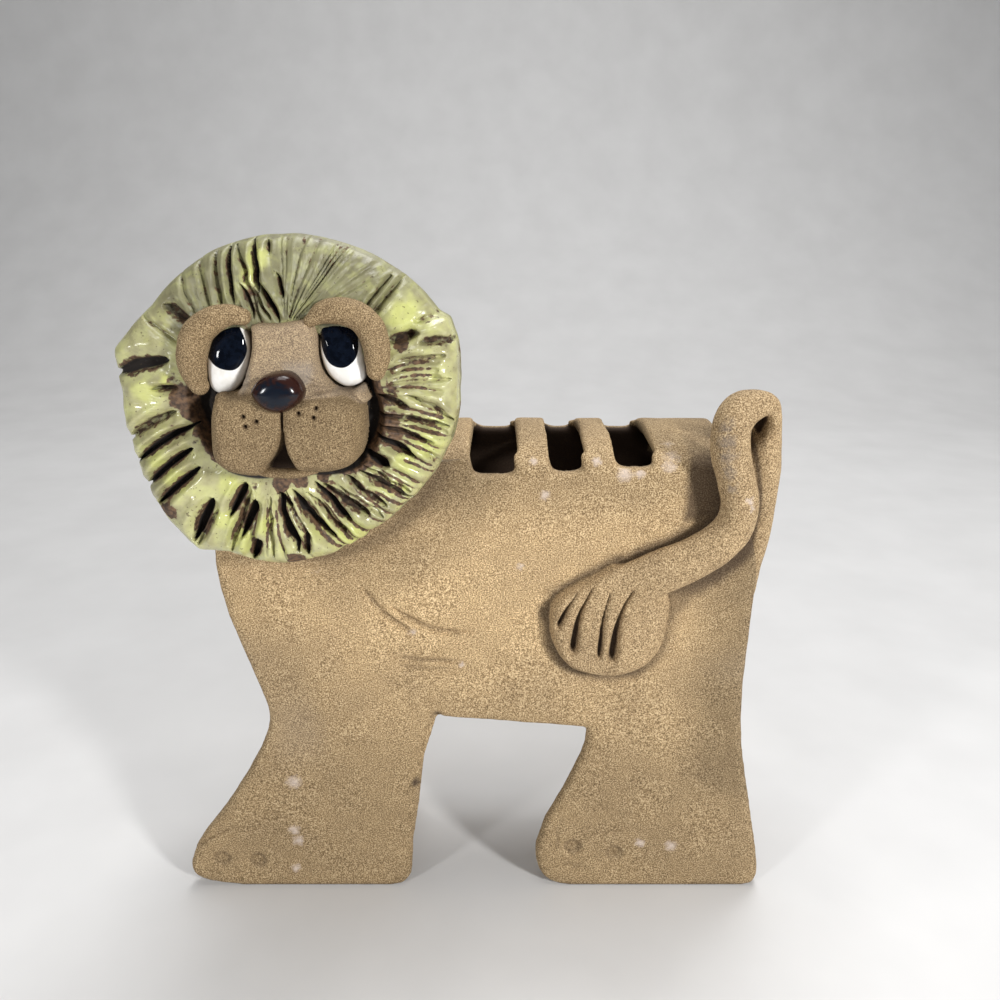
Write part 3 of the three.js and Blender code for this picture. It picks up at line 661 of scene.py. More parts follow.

# Cuts of the tool: from an angle and radius to another, then width, depth and how black the cut's painted
# shade is
CUTS = [
    (180, 23, 191, 35.5, 2.2, 2.8, 0.5), (188, 19, 199, 35.5, 1.9, 4, 1), (201, 21.5, 208, 36.5, 1.9, 4, 1),
    (212, 22.5, 215, 36.6, 2, 4, 1), (228, 25.5, 232, 36.6, 2.6, 4.5, 1), (238, 18.2, 239, 26.7, 2.2, 4.2, 1),
    (248, 20.4, 247, 30.3, 2.4, 4.5, 1), (254, 29.4, 253, 35.4, 2.4, 4, 1), (262, 18, 269, 21, 1.2, 2.2, 0.7),
    (155, 25.5, 168, 36.5, 3.6, 3, 0.75), (167, 22.5, 171, 28.1, 1.6, 2.4, 0.6),
    (134, 25.6, 138, 32, 2.6, 2.2, 0.6), (119, 23, 111, 35.2, 1.3, 1.5, 0.25),
    (112, 23.6, 106, 35.2, 1, 2.4, 0.95), (101, 19, 104, 34.5, 1.1, 1.5, 0.4),
    (89.7, 18.4, 97.5, 26.4, 1, 2.6, 0.95), (98.6, 24.6, 98, 35, 1.2, 2.6, 0.9),
    (104, 20, 105.5, 27, 1, 1.8, 0.7), (87.4, 23.2, 89.8, 28, 1, 1.8, 0.8),
    (92.8, 31.6, 93.2, 34.4, 0.8, 1.4, 0.6), (95.5, 18.8, 100.5, 25, 0.9, 1.5, 0.5),
    (124, 24.5, 118, 35, 1.1, 1.1, 0.1), (131, 25.5, 126, 35, 1, 0.9, 0.1),
    (145, 24.5, 146, 35, 1.1, 1, 0.15), (47, 26.8, 47.4, 37, 1.1, 1.6, 0.2),
    (51, 26.4, 50.6, 35.6, 1, 1.2, 0.15), (34, 25.6, 30, 32.2, 2.6, 2.6, 0.55),
    (34, 32.8, 31, 39, 1.8, 1.6, 0.25), (27, 31.5, 22, 38.8, 2.2, 2.4, 0.55),
    (24, 24.8, 19, 35, 1.8, 1.9, 0.35), (10, 19, 2, 25, 2.2, 2.6, 0.6), (8, 25, -4, 34.8, 1.6, 1.9, 0.35),
    (15, 22, 11, 35, 1.3, 1.6, 0.2), (-2, 19.2, -6, 34, 1.9, 2.3, 0.55), (-9, 19.4, -13, 31, 1.8, 2.3, 0.6),
    (-16, 19, -21, 28.4, 2.2, 2.8, 0.75), (-18, 30, -21, 34, 1.3, 1.3, 0.2),
    (-28, 18.6, -30, 24, 2.8, 3.6, 0.95), (-36, 19.5, -36, 31, 1.5, 1.9, 0.35),
    (-41, 19.2, -38, 32, 2.2, 2.6, 0.65), (-50, 18, -47, 29, 2, 2.4, 0.6),
    (-57, 19, -51, 30.5, 1.4, 1.7, 0.35), (-66, 17, -55, 28, 3, 2.8, 0.62),
    (-71, 15.8, -64, 27.5, 2, 2.4, 0.75), (-78, 17.5, -69, 29.5, 1.3, 1.6, 0.35),
    (-89, 16.8, -74, 29.8, 2.4, 2.9, 0.75), (-94, 17.2, -83, 29, 1.3, 1.7, 0.4),
    (-99, 17.8, -89, 31, 2.2, 3, 0.9), (-85, 26.8, -86, 32.2, 1.7, 2.2, 0.8),
    (-104, 19, -99, 33, 1.3, 1.6, 0.3), (-117, 19, -115, 35, 1.5, 1.8, 0.35),
    (-127, 27, -126, 37, 1.5, 1.8, 0.4),
]
FOREHEAD = np.array([1.6, 17.4])  # where the comb lines over the forehead start

# Where the ring of the mane starts, round the face: angle, radius
INNER = [
    (-170, 18), (-160, 17.3), (-150, 16.8), (-140, 15.8), (-130, 14.2), (-115, 12.4), (-90, 11.6),
    (-65, 12.6), (-50, 15.2), (-35, 18), (-20, 18.9), (0, 19.3), (20, 19), (45, 17.4), (90, 16.8),
    (135, 17.4), (160, 19), (175, 19.2),
]

# Thick yellow-green glaze: angle, radius, size
POOLS = [
    (-68, 31, 4.2), (-77, 27, 2.4), (-14, 30, 3.6), (-25, 27, 2.6), (-38, 27.5, 2.6), (172, 29.5, 2.2),
    (164, 25, 1.6), (-131, 20.5, 2.6), (-112, 31, 3.2), (-105, 26, 2.4), (-122, 28, 2.4), (-149, 28.5, 2.6),
    (-160, 30, 2.4), (102, 27.5, 2), (97, 31.5, 2.2), (38, 31.5, 3.6), (-5, 31, 2.4),
]

# Bare clay pushed up on to the glaze: angle, radius, size
PATCHES = [
    (172, 21, 3.2), (-5, 21.8, 2.4), (-11, 23, 1.8), (-82, 15.2, 2.2), (-98, 15.4, 2.4), (-64, 15.6, 1.8),
    (30, 28.5, 1.8), (-141, 35, 2.4), (-128, 33, 1.6), (-90, 33.5, 2.2),
]


def polar(degrees, radius):
    """Points at these angles and radii."""
    turn = np.radians(degrees)
    return np.column_stack([np.cos(turn) * radius, np.sin(turn) * radius])


def round_the_clock(degrees, table):
    """Reads a table of angle and value, going round smoothly."""
    table = sorted(((a + 180) % 360 - 180, v) for a, v in table)
    angles = np.array([a for a, _ in table])
    values = np.array([v for _, v in table])
    angles = np.concatenate([angles[-4:] - 360, angles, angles[:4] + 360])
    values = np.concatenate([values[-4:], values, values[:4]])
    fine = np.linspace(-200, 200, 1601)
    level = np.interp(fine, angles, values)
    kernel = np.hanning(13) / np.hanning(13).sum()
    return np.interp((np.asarray(degrees) + 180) % 360 - 180, fine, np.convolve(level, kernel, "same"))


def between_cuts():
    """Lesser pleats, set where the cuts leave room: angle, radius, angle, radius, width, depth."""
    table = sorted((0.5 * (a + b), b - a) for a, p, b, q, *_ in CUTS)
    angles = np.array([a for a, _ in table])
    leans = np.array([lean for _, lean in table])
    pleats = []
    at = -131
    for i in range(80):
        at += 2.1 + 1.3 * lattice(i, 5, 9, 40)
        turn = (at + 180) % 360 - 180
        gap = np.min(np.abs((angles - turn + 180) % 360 - 180))
        if 29 < turn < 149 or at > 229 or gap < 1.5:
            continue
        lean = 0.5 * np.interp(turn, angles, leans)
        start = 20.5 + 4 * lattice(i, 1, 2, 41) - (2 if -120 < turn < -50 else 0)
        stop = 33 + 3 * lattice(i, 7, 2, 42)
        size = lattice(i, 3, 3, 43)
        pleats.append((turn - lean, start, turn + lean, stop, 0.9 + 0.6 * size, 1.1 + 1.1 * size))
    return pleats


def across_mane(a, p, b, q, bow=0):
    """A line from one angle and radius to another, by way of their middle turned by bow."""
    return polar(np.array([a, 0.5 * (a + b) + bow, b]), np.array([p, 0.5 * (p + q), q]))


def glaze_mane():
    columns, rows = 900, 104
    degrees = np.linspace(-180, 180, columns, endpoint=False)
    share = np.concatenate([np.linspace(0.27, 0.92, 78), np.linspace(0.926, 1, rows - 78)])
    angle, s = (v.ravel() for v in np.meshgrid(degrees, share))
    upward = np.sin(np.radians(angle))
    top = smooth(upward, 0.4, 0.8)
    ragged = (0.22 - 0.12 * top) * noise(np.column_stack([polar(angle, 30), 0 * angle]), 3, 21)
    rim = round_the_clock(angle, OUTLINE) - 0.45 * top + ragged
    flat = polar(angle, s * rim)
    radius = s * rim
    space = stand(flat, 0)

    # The ring of clay: up from the gap round the face, then a swell that falls to the rim
    inner = round_the_clock(angle, INNER) + 0.5 * noise(space, 4, 22)
    gap = radius - inner
    crown = 8.7 - 1.1 * top * smooth(s, 0.6, 0.9) - 1.3 * smooth(s, 0.74, 1)
    floor = 6.2 - 2.4 * smooth(gap, -3.4, -1.4)
    height = floor + (crown - floor) * smooth(gap, -0.9, 1.5)
    edge = np.sqrt(np.clip(1 - ((s - 0.89) / 0.11).clip(0, 1) ** 2, 0, 1))
    height = 2.2 + (height - 2.2) * (0.12 + 0.88 * edge)

    # Combed lines over the forehead, fanning from one point, and fainter ones to their left
    to = flat - FOREHEAD
    fan = np.degrees(np.arctan2(to[:, 1], to[:, 0]))
    off = np.linalg.norm(to, axis=1)
    comb = np.column_stack([fan / 3.6 + 0.25 * noise(space, 7, 34), off / 26, 0 * fan])
    lines = 1 - 2.4 * np.abs(noise(comb, 0.8, 25))
    combed = smooth(fan, 14, 34) * fade(fan, 88, 104) * smooth(off, 0.5, 3)
    height += combed * 0.55 * lines * (1 - 0.5 * smooth(s, 0.92, 1))
    comb_valley = combed * smooth(-lines, -0.2, 0.7)

    # Rolls of glaze between the pleats
    drift = noise(space, 2.4, 26)
    height += 0.16 * drift + 0.06 * noise(space, 0.9, 27)
    deep = np.zeros(len(angle))
    bare = 0.45 * comb_valley
    for a, p, b, q, width, depth in between_cuts():
        ends = across_mane(a, p, b, q, 0.8)
        nearby = away(flat, ends[1]) < 0.5 * (q - p) + 4
        dent = groove(flat[nearby], curve(ends, 10), 1.5 * width, 1)
        height[nearby] -= depth * dent
        bare[nearby] = np.maximum(bare[nearby], 0.78 * smooth(dent, 0.62, 1))

    for a, p, b, q, width, depth, black in CUTS:
        ends = across_mane(a, p, b, q)
        nearby = away(flat, ends[1]) < 0.5 * (q - p) + 6
        spot = flat[nearby] + 0.22 * np.column_stack([drift, drift])[nearby]
        line = curve(ends, 12)
        wide = groove(spot, line, 1.9 * width, 1)
        beside, along = to_line(spot, line)
        core = bell(beside, 0.34 * width * np.clip(4 * along * (1.04 - along), 0.02, 1) ** 0.55, 4)
        lip = bell(beside - 1.05 * width, 0.42 * width) * tapered(along, 5)
        height[nearby] += 0.85 * lip * min(1, depth / 3)
        cut = 0.38 * depth * wide + 0.75 * depth * core
        height[nearby] -= np.minimum(cut, np.maximum(height[nearby] - 1.2, 0))
        # The cut's core is painted black as shade
        deep[nearby] = np.maximum(deep[nearby], black * smooth(core, 0.15, 0.7))
        bare[nearby] = np.maximum(bare[nearby], (0.3 + 0.55 * black) * smooth(wide, 0.42, 0.92))

    # The bright roll beside the long cut at the top, and the folded tooth at the right edge
    roll = curve([(0.4, 21.5), (-0.4, 23.7), (-1.9, 26.4), (-2.7, 29.7), (-2.6, 33.4)], 20)
    beside, along = to_line(flat, roll)
    height += 1.3 * bell(beside, 1.05) * tapered(along, 5, 1.02)
    height += 0.8 * bell(to_line(flat, [(18.4, 21.4), (24.4, 28)])[0], 0.55)
    for a, r, size, lift in ((31, 36, 1.8, 1), (24, 37, 1.5, 0.9)):
        height += lift * bell(away(flat, polar(a, r)), size)

    # Bare clay in the gap and along the inner edge; painted black shade where the gap is deep, below the
    # cheeks and at the roots of the comb lines
    side = smooth(np.cos(np.radians(angle)) ** 2, 0.1, 0.5)
    ledge = fade(gap + 1.2 * noise(space, 3, 28), 0.8, 3.4)
    worn = np.maximum(ledge, 0.8 * smooth(noise(space, 4, 29), 0.35, 0.7) * fade(gap, 3, 8))
    bare = np.maximum(bare, worn * (1 - 0.6 * smooth(upward, 0.3, 0.7)))
    deep = np.maximum(deep, (0.55 + 0.4 * side) * fade(gap, -1, 0.6))
    chin = -within(flat, MUZZLE)
    deep = np.maximum(deep, 0.85 * fade(chin, 0.8, 1.8) * smooth(-flat[:, 1], 7, 9))
    roots = combed * fade(off, 1, 6) * smooth(-lines, -0.5, 0.4)
    deep = np.maximum(deep, 0.7 * roots)
    bare = np.maximum(bare, roots)
    pools = np.maximum.reduce([bell(away(flat, polar(a, r)) + 0.6 * drift, size, 4) for a, r, size in POOLS])
    patches = [bell(away(flat, polar(a, r)) + 0.8 * drift, size, 4) for a, r, size in PATCHES]
    bare = np.maximum.reduce([bare, *patches])
    dull = np.maximum(0.9 * top, 0.3 * smooth(upward, 0, 0.45) * (np.abs(angle) > 90))
    dull = np.maximum(dull * (1 - 0.7 * pools), 0.25 * smooth(noise(space, 7, 35), 0, 0.6))

    # The rim is rounded over on to a flat back, in rings that step inwards
    front = stand(flat, MANE_BACK - height)
    last, thick = flat[-columns:], height[-columns:]
    reach = np.linalg.norm(last, axis=1)
    backs = []
    for inward, level in ((0.3, 0.72), (0.4, 0.36), (0.2, 0.1), (-0.4, 0), (-4, 0), (-14, 0), (-25, 0)):
        backs.append(stand(last * ((reach + inward) / reach)[:, None], MANE_BACK - thick * level))
    points = np.vstack([front, *backs]) + [HEAD[0], 0, HEAD[1]]
    piece = make("glazed_mane", points, tube_faces(rows + len(backs), columns))

    blank = np.zeros(len(backs) * columns)
    worn = 0.3 + 0.4 * noise(np.column_stack([last, 0 * thick]), 3, 30) - 0.35 * smooth(last[:, 1], 8, 22)
    rim_mark = np.tile(worn, len(backs))
    rim_mark[4 * columns :] = 0.9
    raw = np.repeat([0, 0, 0, 0.7, 1, 1, 1], columns)
    for name, ahead, behind in (
        ("deep", deep, blank), ("bare", bare, rim_mark), ("dull", dull, blank + 0.8), ("pool", pools, blank),
        ("raw", 0 * pools, raw),
    ):
        paint(piece, name, np.concatenate([ahead, behind]))
    return piece


# Face

# Outlines and marks in X and Z from the middle of the head
UPPER_FACE = [
    (-5.2, 18.2), (0.5, 18.5), (5.3, 19.2), (7.2, 18), (7.8, 15.5), (7.8, 12.6), (8.2, 9.8), (9.3, 7.7),
    (11.4, 5.6), (14, 5), (16, 5.8), (17, 4.6), (17, 2), (10, 0.6), (0.7, 0.4), (-9, 0.6), (-14, 2),
    (-13.9, 4.2), (-12.2, 3.3), (-10, 4.1), (-8.1, 6.2), (-6.8, 9.5), (-6, 13), (-5.7, 16.3),
]
MUZZLE = [
    (-5.4, 6), (-9.6, 4.8), (-13, 4.6), (-14.6, 1), (-15.1, -4.2), (-14.9, -9), (-12, -12), (-7, -13.2),
    (-3.6, -12.8), (0.8, -12.2), (5.2, -12.3), (9, -12.3), (13.4, -11), (15.8, -8), (16.7, -2.6), (16.5, 1.4),
    (15.4, 3.4), (12.6, 4.8), (7, 5.2), (2.6, 5.4), (-1, 5.6),
]
MOUTH = [
    (0.7, -3), (0.25, -4.6), (-0.4, -6), (-1.6, -8), (-3.4, -10.2), (-4.4, -13.6), (3, -13.6), (2.2, -9.6),
    (1.3, -7.4), (0.95, -5.6), (0.85, -4.2),
]
PITS = [(-6.6, 0.8), (-4.1, -0.2), (-6.3, -1.2), (4.4, 1.4), (7.9, 2.4), (7.4, 0.6), (17, -5.1)]
CREASES = [
    ([(5.6, 4.4), (9, 5.2), (12.8, 5), (15.6, 3), (16.8, 0.8)], 0.8, 0.7),
    ([(-4.6, 5), (-7.5, 4.4), (-10, 4.2), (-13.4, 5)], 0.9, 0.6),
    ([(5.6, 6.9), (9.5, 6.2), (13.5, 6.4)], 0.5, 0.55), ([(5.8, 8.2), (8.6, 7), (11.8, 5.4)], 0.5, 0.5),
    ([(6.2, 5.6), (9.6, 5.9), (14.6, 3.6)], 0.4, 0.45), ([(-5, 7), (-7.6, 6), (-9.4, 4.6)], 0.5, 0.5),
    ([(-4.8, 8.6), (-6.6, 8), (-8.4, 6.6)], 0.4, 0.4),
]


def clay_face():
    flat, rows, columns = flat_grid(-16.4, 19.4, -14, 21.6, 0.165)
    x, z = flat.T
    space = stand(flat, 0)

    def pad(outline, rounding, level):
        """The height of a pad of clay with that outline, rounded down at its edge."""
        d = within(flat, outline)
        share = np.clip(d / rounding, 0, 1)
        lift = level * (1 - (1 - share) ** 2.4) ** (1 / 2.1)
        return np.where(d > 0, lift, -1.5 + np.clip(d, -0.6, 0))

    brow_level = 5.6 + 3 * smooth(-z, -14, -6) + 0.9 * smooth(-z, -6, 0) - 0.010 * np.abs(x - 1) ** 2.2
    upper = pad(UPPER_FACE, 1.7, brow_level)
    middle = np.where(x < 0.8, -6.5, 9)
    cheek_level = 10.9 - 0.010 * (z + 3) ** 2 - np.where(x < 0.8, 0.012, 0.009) * (x - middle) ** 2
    cheeks = pad(MUZZLE, 3.6, cheek_level)
    blend = np.clip(0.5 + (cheeks - upper) / 1.2, 0, 1)
    height = upper + (cheeks - upper) * blend + 0.3 * blend * (1 - blend)

    # The slit under the nose, and the mouth that it opens into; these, the pits and the creases are painted
    # dark as shade
    slit_line = [(0.9, 3.4), (0.85, 1.4), (0.75, -0.6), (0.8, -3.4)]
    slit = groove(flat, slit_line, 0.55, 1, 3)
    height -= np.where(height > 2, 1.5 * slit + 0.5 * groove(flat, slit_line, 2.4, 1), 0)
    mouth = inside(flat, MOUTH)
    height -= np.where(height > 2, 1.5 * fade(-mouth, 0, 1.3) ** 2, 0)
    height = np.where(mouth > 0, np.minimum(height, 2.5), height)
    mark = np.maximum(0.97 * smooth(mouth, -0.15, 0.3), 0.95 * smooth(slit, 0.25, 0.7))
    for pit in PITS:
        off = away(flat, pit)
        height -= 1.5 * bell(off, 0.42)
        mark = np.maximum(mark, 0.95 * bell(off, 0.42, 4))
    for line, width, depth in CREASES:
        dent = groove(flat, curve(line, 30), width, 1)
        height -= depth * dent
        mark = np.maximum(mark, 0.45 * depth * dent)
    height += 0.16 * noise(space, 5, 31) + 0.09 * noise(space, 1.8, 32)
    height = np.minimum(height, 11.6)

    points = stand(flat + HEAD, SEAT - height)
    kept = [f[::-1] for f in grid_faces(rows, columns) if max(height[list(f)]) > -1.4]
    used = np.unique(np.array(kept))
    number = np.full(len(points), -1)
    number[used] = np.arange(len(used))
    piece = make("clay_face", points[used], [tuple(int(number[i]) for i in f) for f in kept])
    applied(piece, "SMOOTH", factor=0.5, iterations=1)
    paint(piece, "mark", mark[used])
    smear = smooth(noise(space, 4, 33) + 0.45, 0.1, 0.8) * smooth(-np.abs(z - 8), -6, -1)
    paint(piece, "smear", (np.maximum(smear, 0.42) * (1 - blend))[used])
    # Tone: lighter towards the forehead and darker over the cheeks, partly the clay's own colour and partly
    # painted shade
    paint(piece, "tone", (0.57 + 0.08 * smooth(z, 9, 14) - 0.18 * blend)[used])
    return piece


# Middle line of each brow: X, Z and half its width
BROWS = {
    "left_brow": [
        (-6.8, 19.7, 1.7), (-9.4, 20.1, 2.15), (-12.5, 19.3, 2.7), (-15.7, 16.9, 3.05), (-17.3, 13.7, 3.2),
        (-17.8, 10.4, 2.9), (-17.4, 7.4, 2.35), (-16.8, 5.9, 1.9),
    ],
    "right_brow": [
        (6.6, 18.9, 1.3), (9, 20.4, 2.2), (12.6, 20.9, 2.75), (16, 19.9, 2.85), (18.5, 17.4, 2.9),
        (19.6, 14.2, 2.8), (19.7, 11, 2.5), (19.3, 8.9, 1.9),
    ],
}


def evenly(piece, tone, mark=0):
    """Paints a piece of clay with one tone, no smear, and the given marks with their painted shade."""
    blank = np.zeros(len(piece.data.vertices))
    for name, value in (("mark", mark), ("smear", 0), ("tone", tone)):
        paint(piece, name, blank + value)
    return piece


def brow(name):
    table = np.array(BROWS[name])
    fine = curve(table, 160)

    def half(t):
        return np.interp(t, np.linspace(0, 1, len(fine)), fine[:, 2])

    path = stand(table[:, :2] + HEAD, SEAT - 3.7)
    piece = coil("clay_" + name, path, half, lambda t: np.minimum(1.12 * half(t), 3.4), lumps=0.16)
    return evenly(piece, 0.46)


EYES = {
    "left_eye": {
        "outline": [
            (-15.1, 12.3), (-14, 15), (-11.8, 16.9), (-9.3, 17.8), (-7.2, 17.6), (-6.2, 15.6), (-6.1, 12.9),
            (-6.8, 9.7), (-8.1, 6.8), (-10, 4.6), (-12.2, 3.7), (-14.2, 4.2), (-15.3, 5.8), (-15.5, 8.8),
        ],
        "pupil": [
            (-15.6, 12.6), (-14.4, 11.2), (-13, 9.9), (-11.2, 9.2), (-9.2, 9.2), (-7.7, 10.5), (-6.7, 12.8),
            (-6.9, 15), (-7.7, 17), (-9.4, 18.6), (-15.8, 18.6),
        ],
    },
    "right_eye": {
        "outline": [
            (8.1, 15.9), (7.9, 12.9), (8.3, 10.3), (9.1, 8.3), (10.2, 6.9), (11.7, 5.8), (13.2, 5.3),
            (15, 5.6), (16.7, 6.7), (17.1, 8.4), (17.1, 10.3), (16.5, 14.1), (15.2, 17.1), (12.3, 18),
            (9.9, 18), (8.4, 17.5),
        ],
        "pupil": [
            (8.3, 14.8), (8.9, 12.4), (10, 10.6), (11.7, 9.7), (13.5, 9.8), (15.2, 11.2), (15.9, 13.4),
            (15.6, 16.6), (14.6, 18.6), (8, 18.6),
        ],
    },
}


def eye(name):
    shape = EYES[name]
    piece = domed("glazed_" + name, shape["outline"], SEAT - 0.9, bulge=3.6, fullness=2.4, peak=(0, -2.4))
    flat = read(piece)[:, [0, 2]] - HEAD
    black = within(flat, shape["pupil"], 80)
    edge = within(flat, shape["outline"], 120)
    paint(piece, "pupil", 0.5 + black / 0.5)
    paint(piece, "rim", 0.9 * fade(edge, 0.05, 0.45))
    return piece


NOSE = [
    (-4.7, 5.5), (-3.7, 7.5), (-1.9, 8.9), (0.5, 9.6), (3, 9.5), (4.9, 8.1), (5.9, 6), (5.4, 4.2), (3.7, 2.6),
    (1.6, 1.6), (-0.8, 1.7), (-3.1, 2.9),
]


def nose():
    piece = domed("glazed_nose", NOSE, -28.9, bulge=5, fullness=2.9)
    flat = read(piece)[:, [0, 2]] - HEAD
    crown = 1 - np.linalg.norm((flat - [0.6, 5.6]) / [5.4, 4], axis=1)
    paint(piece, "crown", smooth(crown, 0.05, 0.75))
    return piece


def lip():
    path = [(-5.6, -11.6), (-3.4, -11.9), (0.3, -12), (3.6, -11.8), (5.8, -11.6)]
    path = stand(np.array(path) + HEAD, [-25.6, -26.6, -27, -26.7, -25.7])

    def half_height(t):
        return 0.6 + 0.4 * np.sin(math.pi * t)

    piece = coil("clay_lower_lip", path, half_height, lambda t: 2.2 + 0 * t, steps=60, sides=24)
    return evenly(piece, 0.42, 0.15)


# Tail

# Middle of the coil: X, Y, Z, half width and half depth
TAIL = [
    (66.9, -2.6, 84.5, 2.4, 3.4), (67.3, -2.8, 92.5, 2.9, 3.9), (67.5, -3.8, 100, 3.8, 4.1),
    (67, -5.2, 112, 4.8, 4.2), (67.2, -5.6, 119.5, 4.5, 4.2), (68.6, -6.4, 126.4, 2.1, 3.8),
    (66.8, -8, 131.7, 2.5, 3.8), (61.2, -9.8, 131, 4.3, 4.1), (58.3, -11.4, 127.6, 4.5, 4.1),
    (58.3, -11.8, 121.6, 4.5, 4.1), (60, -11.8, 115.3, 4.35, 4.1), (61.4, -11.7, 109.3, 4.3, 4.1),
    (60.2, -11.5, 103.4, 4.5, 4), (56.1, -11.2, 98.6, 4.9, 3.9), (50.4, -10.8, 94.9, 5.2, 3.7),
    (43, -10.4, 91.3, 5.6, 3.4), (36, -9.9, 87.4, 5.8, 2.9), (30, -9.5, 83.5, 5.6, 2.3),
]
FRONT_STRAND = 9  # the coil comes down in front of the slab from this point on
TUFT = [
    (36, 94.2), (30.5, 91.6), (25.5, 88.8), (21.2, 86.2), (18.8, 83), (18.6, 77.5), (20, 72.1), (23.4, 67.2),
    (29.2, 64.8), (35.9, 64.5), (41.8, 66.2), (45.7, 70.8), (47.3, 77.4), (47.6, 83.5), (45, 89),
]
# The hole in the loop of the tail and the seam below it, as they are seen from the front, where both are
# painted dark as shade
HOLE = [(63.4, 128.5), (67.1, 129.6), (65.3, 125.5)]
SIGHT = np.array([-0.295, 0.226])  # how far that view shifts X and Z for each millimetre of Y
SEAM = [(61.9, 126.4), (63.6, 121.5), (64.8, 117.1), (65.8, 109.9), (65.2, 103), (64.5, 97.8)]
SLITS = [
    ([(25.6, 88), (24.6, 86.6), (22.6, 83.2), (20.5, 78.2)], 1, 1.9),
    ([(29.2, 89.6), (27.4, 86), (25.4, 80.6), (24.2, 71.2)], 1.5, 2.6),
    ([(33.2, 89.2), (32.4, 86), (31.2, 80), (30.6, 70)], 0.9, 1.9),
    ([(38.8, 89.6), (36.4, 84.6), (34.6, 78), (33.7, 68.8)], 1.6, 2.6),
]


def clay_tail():
    table = np.array(TAIL)
    fine = curve(table, 200)
    t_fine = np.linspace(0, 1, len(fine))

    def half(column):
        return lambda t: np.interp(t, t_fine, fine[:, column])

    rope = coil("clay_tail", table[:, :3], half(3), half(4), steps=200, sides=28, lumps=0)

    # The tuft is a pad pressed on to the slab
    flat, rows, columns = flat_grid(17, 50, 63, 94, 0.5)
    x, z = flat.T
    d = within(flat, TUFT)
    low = 1 - smooth(z, 84, 90)
    share = np.clip(d / (2.3 + 4 * smooth(x, 35, 45) * low), 0, 1)
    level = 4.6 - 0.8 * smooth(x, 36, 47) * low
    lift = np.where(d > 0, level * np.sqrt(1 - (1 - share) ** 2), -0.6)
    front, back = stand(flat, FRONT + 0.1 - lift), stand(flat, FRONT + 0.9)
    n = len(x)
    cells = [f for f in grid_faces(rows, columns) if max(lift[list(f)]) > -0.5]
    faces = [f[::-1] for f in cells] + [tuple(i + n for i in f) for f in cells]
    edges = dict.fromkeys((a, b) for f in cells for a, b in zip(f, f[1:] + f[:1]))
    faces += [(a, b, b + n, a + n) for a, b in edges if (b, a) not in edges]
    pad = make("tuft", np.vstack([front, back]), faces)
    # The web's front is painted dark where it shows through the hole, as shade
    web = [(63.6, -3.4, 118), (65.4, -3.2, 124), (66, -4, 130)]  # closes the loop from behind
    web = coil("web", web, lambda t: 3.2 + 0 * t, lambda t: 1.8 + 0 * t, steps=20, sides=20, lumps=0)
    with bpy.context.temp_override(active_object=rope, selected_editable_objects=[rope, pad, web]):
        bpy.ops.object.join()
    applied(rope, "REMESH", mode="VOXEL", voxel_size=0.36 * MM)
    applied(rope, "SMOOTH", factor=0.5, iterations=7)

    points, normals = read(rope), read(rope, "normal")
    flat = points[:, [0, 2]]
    x, y, z = points.T  # a change to one of these moves the points
    tuft = smooth(within(flat, TUFT), -0.5, 1.5) * (y < FRONT - 1.5)
    mark = np.zeros(len(points))
    # The slits are painted dark inside as shade
    for line, width, depth in SLITS:
        off, along = to_line(flat, curve(line, 40))
        dent = bell(off, 0.5 * width * (0.35 + 0.9 * smooth(along, 0.2, 0.9)), 3)
        dent *= tapered(along, 9, 1.03)
        lip = bell(off - 1.5 * width, 0.8 * width) * tapered(along, 5)
        y += tuft * (depth * dent * (0.45 + 0.55 * smooth(along, 0.1, 0.7)) - 0.35 * lip)
        mark = np.maximum(mark, tuft * smooth(dent, 0.35, 0.8) * (0.45 + 0.5 * smooth(along, 0.2, 0.7)))
    lumps = 0.16 * noise(points, 9, 41) + 0.1 * noise(points, 3.5, 42) + 0.04 * noise(points, 1.4, 43)
    points += normals * lumps[:, None]
    write(rope, within_box(points))

    # Painted shade where the rope is pressed on the slab, in the hole of the loop and along the seam between
    # its strands
    join = 0.5 * fade(FRONT - y, 0.2, 1.6) * (x < 62) * (1 - smooth(x, 36, 42) * (z < 86))
    hole = smooth(inside(flat + (points[:, 1:2] + 8) * SIGHT, np.array(HOLE)), -0.9, -0.2)
    hole *= smooth(y, -10.5, -8.5) * fade(y, -4.8, -3.8)
    seam, _ = to_line(flat + (points[:, 1:2] + 12) * SIGHT, curve(SEAM, 40))
    seam = 0.75 * fade(seam, 0.15, 1) * (y > -12.6)
    evenly(rope, 0.46, np.maximum.reduce([mark, join, hole, seam]))
    return rope


# The figure

# Spots of glaze on the near slab: X, Z and radius; then other spots: X, Y, Z and radius
FRONT_SPOTS = [
    (-36.7, 92, 1.7), (-46.3, 32.7, 2.4), (-47.2, 18, 1.9), (-46.4, 14.6, 1.9), (-47.6, 5.9, 1.6),
    (17.2, 110.2, 1.5), (11.6, 92.3, 1.1), (52, 12.9, 2), (43.8, 13.8, 1.7), (35.5, 115.2, 2.4),
    (39, 115.4, 1.5), (45.8, 117.4, 2.2), (-2.6, 66.4, 1), (-14.6, 75.2, 1.3),
]
SPATTERS = [(x, FRONT, z, radius) for x, z, radius in FRONT_SPOTS] + [
    (46.6, FRONT + 1.4, 120.6, 3.4), (46.2, -1.5, 122.4, 2.6), (44.2, -5, 121.8, 2.2),
    (-59.4, FRONT - 2, 98, 1.3), (14.6, FRONT + 2, 117.6, 1.5), (29.2, FRONT + 1.5, 118, 1.4),
]
SMUDGES = [
    (55.9, -15.6, 128.2, 2.4), (56.4, -15.6, 124.8, 2.6), (56.9, -15.6, 121.4, 2.6),
    (57.6, -15.6, 117.6, 2.2), (58.4, -15.6, 114, 1.8),
]
FLECK = [(62.4, -15.2, 111.2, 1.2), (62.8, -15, 109.4, 0.9)]

